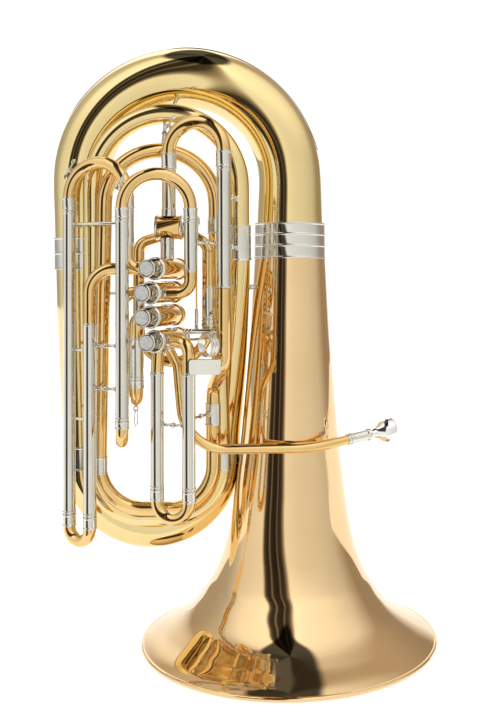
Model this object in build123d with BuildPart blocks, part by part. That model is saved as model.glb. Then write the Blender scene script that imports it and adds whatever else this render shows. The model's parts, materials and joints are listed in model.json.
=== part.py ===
from build123d import *
import math
import os

os.makedirs("parts", exist_ok=True)

# ----------------------------------------------------------------- dimensions
# millimetres. Bell mouth centre on the floor is the origin, Z is the bell axis,
# the body lies in the XZ plane, the valves point towards -Y.
bell_d = 500.0
bell_wall = 1.2
rim_bead_r = 2.6
bow_wall = 1.2
tube_wall = 0.9
big_bow_r = 178.0
big_bow_cz = 779.0
fat_bow_r = 117.5
fat_bow_cx = -232.5
fat_bow_cz = 300.5
fat_bow_tilt = 28.0
valve_yaw = 15.0
valve_stroke = 20.0
casing_od = 33.0
casing_bore = 29.5
piston_d = 29.4
slide_fit = 0.05
sleeve_wall = 0.95
valve_front_y = -190.0
valve_x = {1: -212.0, 2: -219.0, 3: -219.0, 4: -212.0}
valve_z = {1: 517.5, 2: 555.0, 3: 592.5, 4: 630.0}
face_gap = 0.3

sy = math.sin(math.radians(valve_yaw))
cy = math.cos(math.radians(valve_yaw))
into = Vector(sy, cy, 0)            # down the casings, away from the buttons


def V(*p):
    return Vector(*p)


def vpt(n, length, dz=0.0):
    """Point on the axis of valve n, a distance behind its button face."""
    return V(valve_x[n], valve_front_y, valve_z[n] + dz) + into * length


def tube(pts, radii, od, bore, cap=None):
    """Constant tube along straight runs joined by tangent arcs."""
    pts = [V(*p) if not isinstance(p, Vector) else p for p in pts]
    with BuildLine(mode=Mode.PRIVATE) as run:
        if len(pts) == 2:
            Line(pts[0], pts[1])
        else:
            FilletPolyline(*pts, radius=radii)
    way = run.wires()[0]
    with BuildSketch(Plane(origin=pts[0], z_dir=(pts[1] - pts[0]).normalized()), mode=Mode.PRIVATE) as sec:
        Circle(od / 2)
        if bore:
            Circle(bore / 2, mode=Mode.SUBTRACT)
    sweep(sections=sec.sketch, path=way)


def rod(a, b, r, mode=Mode.ADD):
    a = V(*a) if not isinstance(a, Vector) else a
    b = V(*b) if not isinstance(b, Vector) else b
    with BuildSketch(Plane(origin=a, z_dir=(b - a).normalized()), mode=Mode.PRIVATE) as sec:
        Circle(r)
    extrude(to_extrude=sec.sketch, amount=(b - a).length, mode=mode)


def ring(a, b, r_out, r_in, mode=Mode.ADD):
    a = V(*a) if not isinstance(a, Vector) else a
    b = V(*b) if not isinstance(b, Vector) else b
    with BuildSketch(Plane(origin=a, z_dir=(b - a).normalized()), mode=Mode.PRIVATE) as sec:
        Circle(r_out)
        Circle(r_in, mode=Mode.SUBTRACT)
    extrude(to_extrude=sec.sketch, amount=(b - a).length, mode=mode)


def taper(stations, wall):
    """Hollow conical tube through stations (point, tangent, outer radius)."""
    run = []
    for p, t, r in stations:
        p = V(*p) if not isinstance(p, Vector) else p
        t = (V(*t) if not isinstance(t, Vector) else t).normalized()
        run.append((p, t, r))
    first, last = run[0], run[-1]
    bore = [(first[0] - first[1] * 3, first[1], first[2])] + run + [(last[0] + last[1] * 3, last[1], last[2])]
    for line, shrink, how in ((run, 0.0, Mode.ADD), (bore, wall, Mode.SUBTRACT)):
        secs = []
        for p, t, r in line:
            side = V(0, 1, 0) - t * t.Y
            with BuildSketch(Plane(origin=p, x_dir=side.normalized(), z_dir=t), mode=Mode.PRIVATE) as sec:
                Circle(r - shrink)
            secs.append(sec.sketch.faces()[0])
        loft(sections=secs, ruled=True, mode=how)


def axial(origin, axis, profile):
    """Turned piece: profile is a closed list of (radius, length along axis)."""
    axis = (V(*axis) if not isinstance(axis, Vector) else axis).normalized()
    origin = V(*origin) if not isinstance(origin, Vector) else origin
    helper = V(0, 0, 1) if abs(axis.Z) < 0.9 else V(1, 0, 0)
    xd = (helper - axis * helper.dot(axis)).normalized()
    # sketch plane containing the axis: local x = radius, local y = axis
    zd = xd.cross(axis)
    pl = Plane(origin=origin, x_dir=xd, z_dir=zd)
    with BuildSketch(pl, mode=Mode.PRIVATE) as sec:
        with BuildLine():
            Polyline(*profile, close=True)
        make_face()
    revolve(profiles=sec.sketch, axis=Axis(origin, axis), revolution_arc=360)


# --------------------------------------------------------------------- bell
profile = [(6.0, 246.5), (14.0, 234.0), (30.0, 205.0), (50.0, 175.0), (70.0, 157.0), (91.0, 142.5),
           (111.0, 130.0), (152.0, 113.5), (193.0, 103.5), (255.0, 94.0), (317.0, 86.0), (399.0, 78.0),
           (461.0, 72.6), (522.0, 68.0), (584.0, 64.5), (640.0, 61.5), (676.0, 59.8)]
with BuildPart() as bell:
    outer = [(r, z) for z, r in profile]
    inner = []
    for i, (z, r) in enumerate(profile):
        j, k = max(i - 1, 0), min(i + 1, len(profile) - 1)
        dz, dr = profile[k][0] - profile[j][0], profile[k][1] - profile[j][1]
        n = math.hypot(dz, dr)
        inner.append((r - bell_wall * dz / n, z + bell_wall * dr / n if 0 < i < len(profile) - 1 else z))
    inner[0] = (inner[0][0] - 0.6, profile[0][0])
    with BuildSketch(Plane.XZ):
        with BuildLine():
            Spline(*outer)
            Line(outer[-1], inner[-1])
            Spline(*reversed(inner))
            Line(inner[0], outer[0])
        make_face()
    revolve(axis=Axis.Z)
bell.part.label = "bell"

with BuildPart() as bell_rim:
    with BuildSketch(Plane.XZ):
        with Locations((bell_d / 2 - 3.6, 3.6)):
            Circle(3.6)
        with Locations((bell_d / 2 - 3.6, 0.5)):
            Rectangle(3.6, 1.0)
    revolve(axis=Axis.Z)
bell_rim.part.label = "bell_rim"

# ------------------------------------------------------------------- big bow
def arc_stations(c, r, z_c, radii, y0, y1, up=1, n=18):
    """Half turn from x = c + r to x = c - r."""
    out = []
    for i in range(n + 1):
        a = math.pi * i / n
        x = c + r * math.cos(a)
        z = z_c + up * r * math.sin(a)
        y = y0 + (y1 - y0) * (1 - math.cos(a)) / 2
        t = V(-r * math.sin(a), (y1 - y0) / 2 * math.sin(a), up * r * math.cos(a))
        f = i / n
        if f <= 0.5:
            q = radii[0] + (radii[1] - radii[0]) * f * 2
        else:
            q = radii[1] + (radii[2] - radii[1]) * (f - 0.5) * 2
        out.append((V(x, y, z), t, q))
    return out


with BuildPart() as bottom_bow:
    st = [(V(0, 0, 677.0), V(0, 0, 1), 57.6), (V(0, 0, 725.0), V(0, 0, 1), 55.8)]
    st += arc_stations(-big_bow_r, big_bow_r, big_bow_cz, (53.8, 50.5, 46.8), 0, 0)
    st += [(V(-2 * big_bow_r, 0, 720.0), V(0, 0, -1), 45.3), (V(-2 * big_bow_r, 0, 657.0), V(0, 0, -1), 43.6)]
    taper(st, bow_wall)
bottom_bow.part.label = "bottom_bow"

with BuildPart() as left_branch:
    taper([(V(-356, 0, 656), V(0, 0, -1), 43.4), (V(-355.5, 0, 560), V(0.01, 0, -1), 41.4),
           (V(-353, 0, 430), V(0.02, 0, -1), 38.6), (V(-350, 0, 312), V(0, 0, -1), 36.0)], bow_wall)
left_branch.part.label = "left_branch"

with BuildPart() as top_bow:
    st = arc_stations(fat_bow_cx, fat_bow_r, fat_bow_cz, (27.6, 31.6, 35.6), fat_bow_tilt, 0, up=-1)
    st = [(V(-115, fat_bow_tilt, 311), V(0, 0, -1), 27.3)] + st + [(V(-350, 0, 311), V(0, 0, 1), 35.9)]
    taper(st, bow_wall)
top_bow.part.label = "top_bow"

branch = [(-115, 28, 312, 27.1), (-112.5, 26, 350, 26.2), (-106.5, 21, 400, 25.0), (-101.2, 13, 445, 23.8),
          (-95, -1, 500, 22.1), (-89.5, -18, 560, 20.2), (-84.6, -37, 620, 18.4), (-82.5, -49, 665, 17.3),
          (-82.5, -54.5, 690, 16.9)]
with BuildPart() as right_branch:
    st = []
    for i, (x, y, z, r) in enumerate(branch):
        if i == 0:
            t = V(0, 0, 1)
        elif i == len(branch) - 1:
            t = V(0, -0.13, 1)
        else:
            a, b = branch[i - 1], branch[i + 1]
            t = V(b[0] - a[0], b[1] - a[1], b[2] - a[2])
        st.append((V(x, y, z), t, r))
    taper(st, bow_wall)
right_branch.part.label = "right_branch"

# ------------------------------------------------------------- inner branches
alpha_r = 120.0
alpha_cz = 766.0
with BuildPart() as inner_bow_outer:
    st = [(V(-82.5, -54.7, 691), V(0, -0.11, 1), 16.9), (V(-82.5, -58, 735), V(0, 0, 1), 16.8)]
    st += arc_stations(-82.5 - alpha_r, alpha_r, alpha_cz, (16.7, 16.5, 16.4), -58, -58)
    st += [(V(-322.8, -57, 730), V(0, 0.02, -1), 16.3), (V(-323.6, -52.5, 520), V(-0.003, 0.024, -1), 15.9),
           (V(-325, -46, 311), V(0, 0.01, -1), 15.3)]
    taper(st, tube_wall)
inner_bow_outer.part.label = "inner_bow_outer"

with BuildPart() as lower_bow_outer:
    tube([(-325, -46, 310), (-325, -46, 218.5), (-112, -46, 218.5), (-112, -46, 310)], [80, 80], 30.2, 28.2)
    taper([(V(-112, -46, 311), V(0, 0, 1), 15.1), (V(-114, -46, 400), V(-0.02, 0, 1), 14.6),
           (V(-118, -45.5, 520), V(-0.03, 0, 1), 13.8), (V(-121, -45, 640), V(-0.02, 0, 1), 13.0),
           (V(-122, -45, 700), V(0, 0, 1), 12.7)], tube_wall)
lower_bow_outer.part.label = "lower_bow_outer"

with BuildPart() as inner_bow_inner:
    st = [(V(-122, -45, 701), V(0, 0, 1), 12.6)]
    st += arc_stations(-122 - 88.5, 88.5, 736.0, (12.5, 12.4, 12.3), -45, -82)
    st += [(V(-299.6, -82, 690), V(-0.015, 0, -1), 12.2), (V(-303, -81.5, 520), V(-0.02, 0, -1), 12.0),
           (V(-307, -80, 312), V(-0.01, 0, -1), 11.6)]
    taper(st, tube_wall)
inner_bow_inner.part.label = "inner_bow_inner"

with BuildPart() as lower_bow_inner:
    tube([(-307, -80, 311), (-307, -80, 240.6), (-123.2, -80, 240.6), (-123.2, -80, 404)], [70, 70], 23.0, 21.2)
lower_bow_inner.part.label = "lower_bow_inner"

with BuildPart() as main_tail:
    tube([(-123.2, -80, 405), (-123.2, -80, 437), (-99.5, -145, 480), (-99.5, -145, 600)], [26, 26], 22.0, 20.2)
main_tail.part.label = "main_tail"

# ------------------------------------------------------------------ bow guard
with BuildPart() as bow_guard:
    a0, a1, steps = 14.0, 152.0, 14
    for shrink, how in ((0.0, Mode.ADD), (1.4, Mode.SUBTRACT)):
        secs = []
        over = 1.5 if shrink else 0.0
        for i in range(steps + 1):
            a = math.radians(a0 - over + (a1 - a0 + 2 * over) * i / steps)
            f = a / math.pi
            q = 53.8 + (50.5 - 53.8) * f * 2 if f <= 0.5 else 50.5 + (46.8 - 50.5) * (f - 0.5) * 2
            p = V(-big_bow_r + big_bow_r * math.cos(a), 0, big_bow_cz + big_bow_r * math.sin(a))
            t = V(-math.sin(a), 0, math.cos(a))
            with BuildSketch(Plane(origin=p, x_dir=(0, 1, 0), z_dir=t), mode=Mode.PRIVATE) as sec:
                Circle(q + 1.4 - shrink + 0.02)
            secs.append(sec.sketch.faces()[0])
        loft(sections=secs, ruled=True, mode=how)
    # keep the outer strip only: half width 20 mm, outside the bow centreline
    with BuildSketch(Plane.XZ, mode=Mode.PRIVATE) as keep:
        with Locations((-big_bow_r, big_bow_cz)):
            Circle(big_bow_r + 80)
            Circle(big_bow_r + 30, mode=Mode.SUBTRACT)
    extrude(to_extrude=keep.sketch, amount=21, both=True, mode=Mode.INTERSECT)
bow_guard.part.label = "bow_guard"

# ------------------------------------------------------------------- ferrules
with BuildPart() as ferrules:
    axial((0, 0, 648), (0, 0, 1), [(60.9, 0), (62.2, 0), (62.2, 2.5), (61.2, 3.5), (61.0, 19.5), (61.9, 20.5),
                                    (61.9, 22.5), (61.0, 23.5), (60.8, 38.5), (61.7, 39.5), (61.7, 41.5),
                                    (60.8, 42.5), (60.6, 56.5), (61.9, 57.5), (61.9, 59.5), (56.9, 59.5),
                                    (58.0, 29.5)])
    axial((-356, 0, 629), (0, 0, 1), [(42.9, 0), (46.2, 0), (46.2, 2.2), (45.2, 3.2), (45.4, 25.5), (46.4, 26.5),
                                       (46.4, 28.5), (45.4, 29.5), (45.7, 51), (46.7, 52), (46.7, 54.2), (44.2, 54.2),
                                       (43.5, 28.0)])
    axial((-350, 0, 292), (0, 0, 1), [(35.4, 0), (38.0, 0), (38.0, 2), (37.2, 3), (37.2, 36), (38.0, 37), (38.0, 39),
                                       (36.3, 39), (35.9, 19.5)])
    axial((-115, 28, 294), (0, 0, 1), [(27.4, 0), (28.6, 0), (28.6, 34), (26.6, 34), (27.2, 17.0)])
    f_axis = V(0, -0.1, 1).normalized()
    axial(V(-82.5, -52.2, 691) - f_axis * 46, f_axis, [(18.0, 0), (20.4, 0), (20.4, 2), (19.6, 3), (19.2, 55), (20.0, 56), (20.0, 58),
                                        (16.7, 58), (16.8, 46), (17.2, 20)])
    for x, y, z0, z1, r in ((-325, -46, 296, 326, 15.2), (-112, -46, 296, 326, 15.1), (-122, -45, 688, 714, 12.6),
                            (-307, -80, 297, 325, 11.6), (-123.2, -80, 376, 412, 11.5)):
        axial((x, y, z0), (0, 0, 1), [(r - 0.2, 0), (r + 1.9, 0), (r + 1.9, 2), (r + 1.2, 2.8), (r + 1.2, z1 - z0 - 2.8),
                                       (r + 1.9, z1 - z0 - 2), (r + 1.9, z1 - z0), (r - 0.2, z1 - z0)])
ferrules.part.label = "ferrules"

# -------------------------------------------------------- leadpipe and receiver
lp_end = V(133.6, -55.0, 357.0)
lp_dir = (lp_end - V(40, -107, 343.5)).normalized()
with BuildPart() as leadpipe:
    tube([(-186.4, -128, 501.8), (-174, -128, 478), (-163, -122, 343.5), (40, -107, 343.5), lp_end - lp_dir * 22],
         [24, 72, 140], 16.0, 14.2)
leadpipe.part.label = "leadpipe"

with BuildPart() as receiver:
    axial(lp_end - lp_dir * 44, lp_dir, [(7.9, 0), (9.0, 0), (9.0, 4), (9.9, 5), (9.9, 8), (9.2, 9), (9.2, 36), (10.6, 38),
                                          (10.6, 44), (7.0, 44), (6.6, 22.5), (7.9, 21.5)])
receiver.part.label = "receiver"

with BuildPart() as mouthpiece:
    axial(lp_end - lp_dir * 18, lp_dir, [(4.6, 0), (6.4, 0), (6.86, 17.5), (6.9, 22), (7.6, 24), (8.6, 28), (11.5, 33),
                                          (17.5, 40), (20.6, 47), (21.3, 55), (21.3, 58.5), (20.4, 60.2), (18.6, 60.8),
                                          (16.9, 59.8), (16.2, 57), (15.4, 48), (12.0, 38.5), (6.0, 31.5), (4.0, 28),
                                          (4.0, 14), (4.4, 6)])
mouthpiece.part.label = "mouthpiece"

# --------------------------------------------------------------------- valves
cas0, cas1 = 30.0, 124.0          # casing ends, measured from the button face
pis0, pis1 = 46.0, 101.0          # piston body


def make_casing(n, ports):
    """Casing with short port collars: ports are (length, dx, dy, dz, reach, radius)."""
    rod(vpt(n, cas0), vpt(n, cas1), casing_od / 2)
    for length, dx, dy, dz, reach, radius in ports:
        p = vpt(n, length)
        rod(p, p + V(dx, dy, dz).normalized() * reach, radius)
    rod(vpt(n, cas0 - 1), vpt(n, cas1 + 1), casing_bore / 2, mode=Mode.SUBTRACT)
    for length, dx, dy, dz, reach, radius in ports:
        p = vpt(n, length)
        rod(p, p + V(dx, dy, dz).normalized() * (reach + 1), radius - 1.7, mode=Mode.SUBTRACT)


with BuildPart() as casing_1:
    make_casing(1, [(44.0, 0, 0, -1, 20.5, 10.0), (46.0, 1, -0.2, 0, 20.5, 10.6), (64.0, 21, 0, -33, 20.0, 8.9),
                    (94.0, 0, 0, 1, 17.6, 9.6)])
casing_1.part.label = "casing_1"
with BuildPart() as casing_2:
    make_casing(2, [(52.0, -1, 0, 0, 20.0, 10.4), (93.0, -1, 0, 0, 20.5, 10.4), (94.0, 0, 0, 1, 17.6, 9.6)])
casing_2.part.label = "casing_2"
with BuildPart() as casing_3:
    make_casing(3, [(46.0, 1, -0.13, 0, 21.0, 10.4), (62.0, -1, 0, 0, 21.0, 10.6), (94.0, 0, 0, 1, 17.6, 9.6)])
casing_3.part.label = "casing_3"
with BuildPart() as casing_4:
    make_casing(4, [(56.0, -1, 0, 0, 21.0, 10.6), (80.0, -1, 0, 0, 21.0, 10.6), (77.6, 0, 0, 1, 20.0, 10.8)])
casing_4.part.label = "casing_4"

with BuildPart() as caps:
    for n in (1, 2, 3, 4):
        axial(vpt(n, 27.0), into, [(4.9, 0), (15.5, 0), (17.4, 1.6), (18.2, 3.2), (18.2, 4.6), (17.6, 5.6), (17.6, 6.6),
                                   (16.55, 6.6), (16.55, 3.0), (4.9, 3.0)])
        axial(vpt(n, 118.0), into, [(16.55, 0), (17.7, 0), (17.7, 5), (18.1, 6), (18.1, 9), (17.4, 12.5), (15.0, 15.6),
                                    (9.0, 17.6), (4.5, 18.4), (4.5, 21), (1.6, 21), (1.6, 14.0), (15.4, 14.0),
                                    (16.55, 11.5)])
caps.part.label = "caps"


def make_piston(n):
    rod(vpt(n, pis0), vpt(n, pis1), piston_d / 2)
    rod(vpt(n, pis0 + 2), vpt(n, pis1 + 1), piston_d / 2 - 3.4, mode=Mode.SUBTRACT)
    for length, a, b in ((56.0, -0.35, 0.5), (68.0, 0.2, -0.4), (88.0, 0.0, 0.35)):
        p = vpt(n, length)
        side = V(cy, -sy, a).normalized()
        slant = (side + into * b).normalized()
        with BuildSketch(Plane(origin=p - slant * 12.4, z_dir=slant), mode=Mode.PRIVATE) as sec:
            Circle(5.6)
        extrude(to_extrude=sec.sketch, amount=24.8)
        with BuildSketch(Plane(origin=p - slant * 20, z_dir=slant), mode=Mode.PRIVATE) as sec:
            Circle(4.7)
        extrude(to_extrude=sec.sketch, amount=40, mode=Mode.SUBTRACT)
    rod(vpt(n, 7.0), vpt(n, pis0 + 0.5), 3.6)
    ring(vpt(n, pis0 - 2.5), vpt(n, pis0), 9.0, 3.0)


with BuildPart() as piston_1:
    make_piston(1)
piston_1.part.label = "piston_1"
with BuildPart() as piston_2:
    make_piston(2)
piston_2.part.label = "piston_2"
with BuildPart() as piston_3:
    make_piston(3)
piston_3.part.label = "piston_3"
with BuildPart() as piston_4:
    make_piston(4)
piston_4.part.label = "piston_4"


def make_button(n):
    axial(vpt(n, 0.0), into, [(0.0, 0.6), (10.6, 0.6), (11.2, 0.0), (12.6, 0.0), (13.9, 1.2), (13.9, 3.0), (12.4, 4.4),
                              (6.0, 6.4), (4.6, 9.5), (3.65, 9.5), (3.65, 7.0), (0.0, 7.0)])


with BuildPart() as button_1:
    make_button(1)
button_1.part.label = "button_1"
with BuildPart() as button_2:
    make_button(2)
button_2.part.label = "button_2"
with BuildPart() as button_3:
    make_button(3)
button_3.part.label = "button_3"
with BuildPart() as button_4:
    make_button(4)
button_4.part.label = "button_4"


def make_spring(n):
    a = vpt(n, pis1 + 0.7)
    with BuildLine(mode=Mode.PRIVATE) as wire:
        Helix(pitch=5.2, height=29.0, radius=11.4, center=a, direction=into)
    coil = wire.wires()[0]
    with BuildSketch(Plane(origin=coil @ 0, z_dir=coil % 0), mode=Mode.PRIVATE) as sec:
        Circle(0.6)
    sweep(sections=sec.sketch, path=coil, is_frenet=True)


with BuildPart() as spring_1:
    make_spring(1)
spring_1.part.label = "spring_1"
with BuildPart() as spring_2:
    make_spring(2)
spring_2.part.label = "spring_2"
with BuildPart() as spring_3:
    make_spring(3)
spring_3.part.label = "spring_3"
with BuildPart() as spring_4:
    make_spring(4)
spring_4.part.label = "spring_4"

# --------------------------------------------------------------------- rotary
rot = V(-189.4, -110.0, 696.0)
rot_len = 43.7
rotor_r = 17.6
with BuildPart() as rotary_casing:
    rod(rot - V(17.5, 0, 0), rot + V(17.5, 0, 0), 19.2)
    rod(rot + V(0, -5, 0), rot + V(0, -5, 27.5), 11.6)
    rod(rot + V(-2.4, -5, 0), rot + V(-2.4, -5, -26.0), 11.2)
    rod(rot + V(-8.6, 0, -7.5), rot + V(-8.6, 24, -7.5), 9.9)
    rod(rot + V(8.4, 0, 7.0), rot + V(8.4, 24, 7.0), 9.9)
    rod(rot - V(20, 0, 0), rot + V(20, 0, 0), rotor_r + 0.05, mode=Mode.SUBTRACT)
    rod(rot + V(0, -5, 16), rot + V(0, -5, 30), 9.6, mode=Mode.SUBTRACT)
    rod(rot + V(-2.4, -5, -16), rot + V(-2.4, -5, -30), 9.2, mode=Mode.SUBTRACT)
    rod(rot + V(-8.6, 10, -7.5), rot + V(-8.6, 30, -7.5), 8.2, mode=Mode.SUBTRACT)
    rod(rot + V(8.4, 10, 7.0), rot + V(8.4, 30, 7.0), 8.2, mode=Mode.SUBTRACT)
rotary_casing.part.label = "rotary_casing"

with BuildPart() as rotary_caps:
    axial(rot - V(21.8, 0, 0), (1, 0, 0), [(0, 0), (6, -1.4), (15, -1.0), (19.6, 0.4), (20.5, 1.4), (20.5, 4.1), (17.0, 4.1),
                                            (17.0, 3.0), (0, 3.0)])
    axial(rot + V(17.7, 0, 0), (1, 0, 0), [(17.0, 0), (20.5, 0), (20.5, 2.8), (19.6, 4.0), (8.0, 4.6), (8.0, 6.8),
                                            (3.25, 6.8), (3.25, 1.0), (17.0, 1.0)])
rotary_caps.part.label = "rotary_caps"

arm_dir = V(0, -0.35, 0.94).normalized()
arm_x = rot.X + 28.6
arm_r = 10.5
ballc = V(arm_x, rot.Y, rot.Z) + arm_dir * arm_r
with BuildPart() as rotor:
    rod(rot - V(16.6, 0, 0), rot + V(17.2, 0, 0), rotor_r)
    for q in (1, -1):
        c = rot + V(0, q * 15.5, 0)
        rod(c - V(0, 0, 30), c + V(0, 0, 30), 7.5, mode=Mode.SUBTRACT)
    rod(rot + V(17.0, 0, 0), rot + V(31.4, 0, 0), 3.2)
    with BuildSketch(Plane(origin=(arm_x - 1.8, rot.Y, rot.Z), x_dir=(0, arm_dir.Y, arm_dir.Z), z_dir=(1, 0, 0)), mode=Mode.PRIVATE) as sec:
        SlotCenterPoint((arm_r / 2, 0), (arm_r, 0), 6.4)
        with Locations((0, 0)):
            Circle(6.0)
    extrude(to_extrude=sec.sketch, amount=3.6)
    rod(ballc + V(1.6, 0, 0), ballc + V(9.4, 0, 0), 2.0)
rotor.part.label = "rotor"

# ---------------------------------------------------------------- stop linkage
rod_x = ballc.X + 15.2
rod_y = -113.6
hinge = V(-134.0, -142.0, 532.0)
with BuildPart() as linkage_rod:
    axial(V(rod_x, rod_y, ballc.Z - 7.5), (0, 0, 1), [(0, 0), (3.4, 0), (5.2, 3.0), (5.2, 12.0), (3.4, 15.0), (0, 15.0)])
    rod(V(rod_x, rod_y, ballc.Z - 7.0), V(rod_x, rod_y, ballc.Z - 26), 2.8)
    rod(V(rod_x, rod_y, ballc.Z - 25), V(rod_x, rod_y, hinge.Z + 33), 1.4)
    rod(V(rod_x, rod_y, hinge.Z + 34), V(rod_x, rod_y, hinge.Z - 4), 2.8)
linkage_rod.part.label = "linkage_rod"

with BuildPart() as lever_mount:
    for dx in (-24.6, 20.6):
        ring(hinge + V(dx, 0, 0), hinge + V(dx + 4.0, 0, 0), 4.8, 1.5)
    rod(hinge + V(-27.0, 0, 0), hinge + V(27.0, 0, 0), 2.05)
    rod(hinge + V(-28.0, 0, 0), hinge + V(-26.0, 0, 0), 3.6)
    # short arms from the knuckles back to a bar soldered on the main tube
    for dx in (-22.6, 22.6):
        rod(hinge + V(dx, -1.0, -3.0), hinge + V(dx, -6.0, -12.0), 2.2)
    rod(hinge + V(-24.6, -6.0, -12.0), hinge + V(27.5, -6.0, -12.0), 2.4)
    rod(hinge + V(24.5, 0, 0), hinge + V(27.5, 0, 0), 3.4)
lever_mount.part.label = "lever_mount"

thumb_c = V(-119.5, -177.0, 513.0)
thumb_n = V(0.7, 0.7, 0).normalized()
with BuildPart() as thumb_lever:
    ring(hinge + V(-19.8, 0, 0), hinge + V(19.8, 0, 0), 4.6, 2.15)
    # arm reaching back beside the rod, with its pivot pin
    rod(hinge + V(rod_x - hinge.X + 8.4, 2.6, 1.0), V(rod_x + 8.4, rod_y, hinge.Z + 1.0), 2.2)
    rod(V(rod_x + 9.6, rod_y, hinge.Z + 1.0), V(rod_x + 3.4, rod_y, hinge.Z + 1.0), 1.8)
    # arm forward to the thumb ring
    rod(hinge + V(14.5, -3.0, -1.0), thumb_c + V(2.6, 2.6, 17.2), 2.4)
    with BuildSketch(Plane(origin=thumb_c - thumb_n * 7.0, z_dir=thumb_n), mode=Mode.PRIVATE) as sec:
        Circle(18.4)
        Circle(16.2, mode=Mode.SUBTRACT)
    extrude(to_extrude=sec.sketch, amount=14.0)
thumb_lever.part.label = "thumb_lever"

# ------------------------------------------------------------------ hand plate
with BuildPart() as hand_plate:
    with BuildSketch(Plane(origin=(-125.5, -178.0, 480.0), x_dir=(1, 0, 0), z_dir=(0, -1, 0)), mode=Mode.PRIVATE) as sec:
        RectangleRounded(51.0, 24.0, 5.0)
    extrude(to_extrude=sec.sketch, amount=1.8)
    rod((-107.0, -179.0, 480.0), (-101.5, -153.0, 490.0), 3.0)
hand_plate.part.label = "hand_plate"

# ----------------------------------------------------------- slide tubes (fixed)
# outer tubes: od / bore; inner legs run inside with a small clearance
main_od, main_bore = 22.0, 20.1
s_od, s_bore = 19.8, 18.0
C_L, C_R = (-189.4, -115.0), (-99.5, -145.0)
B_R, B_L, B_T = (-150.0, -153.0), (-252.0, -172.0), (-261.0, -129.0)
A_R, A_L, A_T = (-251.0, -136.0), (-353.0, -95.0), (-315.0, -115.0)
D_L, D_R = (-202.4, -148.6), (-151.0, -165.0)
E_F, E_B = (-234.5, -140.0), (-246.5, -100.0)
F_L, F_R = (-245.0, -72.0), (-131.0, -84.0)
C_top, B_top, A_top = 788.0, 706.0, 724.0
B_low, A_low, D_low, E_low, F_low = 397.0, 236.0, 288.0, 456.0, 548.0

with BuildPart() as tubes_1:
    tube([(vpt(1, 44.0).X - 0.4, D_L[1], 499.5), (D_L[0], D_L[1], 468.0)], None, s_od, s_bore)
    p = vpt(1, 46.0)
    tube([p + V(19.0, -3.8, 0), (D_R[0], D_R[1], 515.5), (D_R[0], D_R[1], 468.0)], [18.0], s_od, s_bore)
tubes_1.part.label = "tubes_1"
with BuildPart() as tubes_2:
    p = vpt(2, 52.0)
    tube([p + V(-16.4, 0, 0), (E_F[0], E_F[1], 555.0), (E_F[0], E_F[1], 520.0)], [12.0], 18.4, 16.6)
    p = vpt(2, 93.0)
    tube([p + V(-19.5, 0, 0), (E_B[0], E_B[1], 555.0), (E_B[0], E_B[1], 520.0)], [16.0], 18.4, 16.6)
tubes_2.part.label = "tubes_2"
with BuildPart() as tubes_3:
    p = vpt(3, 46.0)
    tube([p + V(19.0, -2.47, 0), (B_R[0], B_R[1], 592.5), (B_R[0], B_R[1], 626.0)], [20.0], s_od, s_bore)
    p = vpt(3, 62.0)
    tube([p + V(-19.5, 0, 0), (B_T[0], B_T[1], 592.5), (B_T[0], B_T[1], 545.0)], [20.0], s_od, s_bore)
tubes_3.part.label = "tubes_3"
with BuildPart() as tubes_4:
    p = vpt(4, 56.0)
    tube([p + V(-19.5, 0, 0), (A_R[0], A_R[1], 630.0), (A_R[0], A_R[1], 668.0)], [20.0], s_od, s_bore)
    p = vpt(4, 80.0)
    tube([p + V(-19.5, 0, 0), (A_T[0], A_T[1], 630.0), (A_T[0], A_T[1], 542.0)], [38.0], s_od, s_bore)
tubes_4.part.label = "tubes_4"
with BuildPart() as tubes_5:
    tube([rot + V(-8.6, 21.5, -7.5), (-198.0, -66.0, 687.5), (F_L[0], F_L[1], 672.0), (F_L[0], F_L[1], 600.0)],
         [17.0, 19.0], 18.4, 16.4)
    tube([rot + V(8.4, 21.5, 7.0), (-181.0, -66.0, 702.0), (F_R[0], F_R[1], 668.0), (F_R[0], F_R[1], 600.0)],
         [17.0, 24.0], 18.4, 16.4)
tubes_5.part.label = "tubes_5"


def sleeve(xy, z0, z1, od, bore, beads=(0, 1)):
    x, y = xy
    ring((x, y, z0), (x, y, z1), od / 2, bore / 2)
    for k in beads:
        zc = z0 + 2.2 if k == 0 else z1 - 5.2
        ring((x, y, zc), (x, y, zc + 3.0), od / 2 + 0.9, od / 2 - 0.2)


with BuildPart() as sleeves:
    sleeve(C_L, 720.0, C_top, main_od, main_bore)
    sleeve(C_R, 598.0, C_top, main_od, main_bore)
    sleeve(B_R, 624.0, B_top, s_od + 0.6, s_bore + 0.1)
    sleeve(B_L, B_low, B_top, s_od + 0.6, s_bore + 0.1)
    sleeve(B_T, B_low, 547.0, s_od + 0.6, s_bore + 0.1)
    sleeve(A_R, 666.0, A_top, s_od + 0.6, s_bore + 0.1)
    sleeve(A_L, A_low, A_top, s_od + 0.6, s_bore + 0.1)
    sleeve(A_T, A_low, 544.0, s_od + 0.6, s_bore + 0.1)
    sleeve(D_L, D_low, 470.0, s_od + 0.6, s_bore + 0.1)
    sleeve(D_R, D_low, 470.0, s_od + 0.6, s_bore + 0.1)
    sleeve(E_F, E_low, 522.0, 19.0, 17.1)
    sleeve(E_B, E_low, 522.0, 19.0, 17.1)
    sleeve(F_L, F_low, 602.0, 19.0, 17.1)
    sleeve(F_R, F_low, 602.0, 19.0, 17.1)
    # short nickel link from the rotary down to the fourth casing
    ring((-191.8, -115.0, 645.5), (-191.8, -115.0, 674.0), 10.9, 9.3)
sleeves.part.label = "sleeves"


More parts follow.
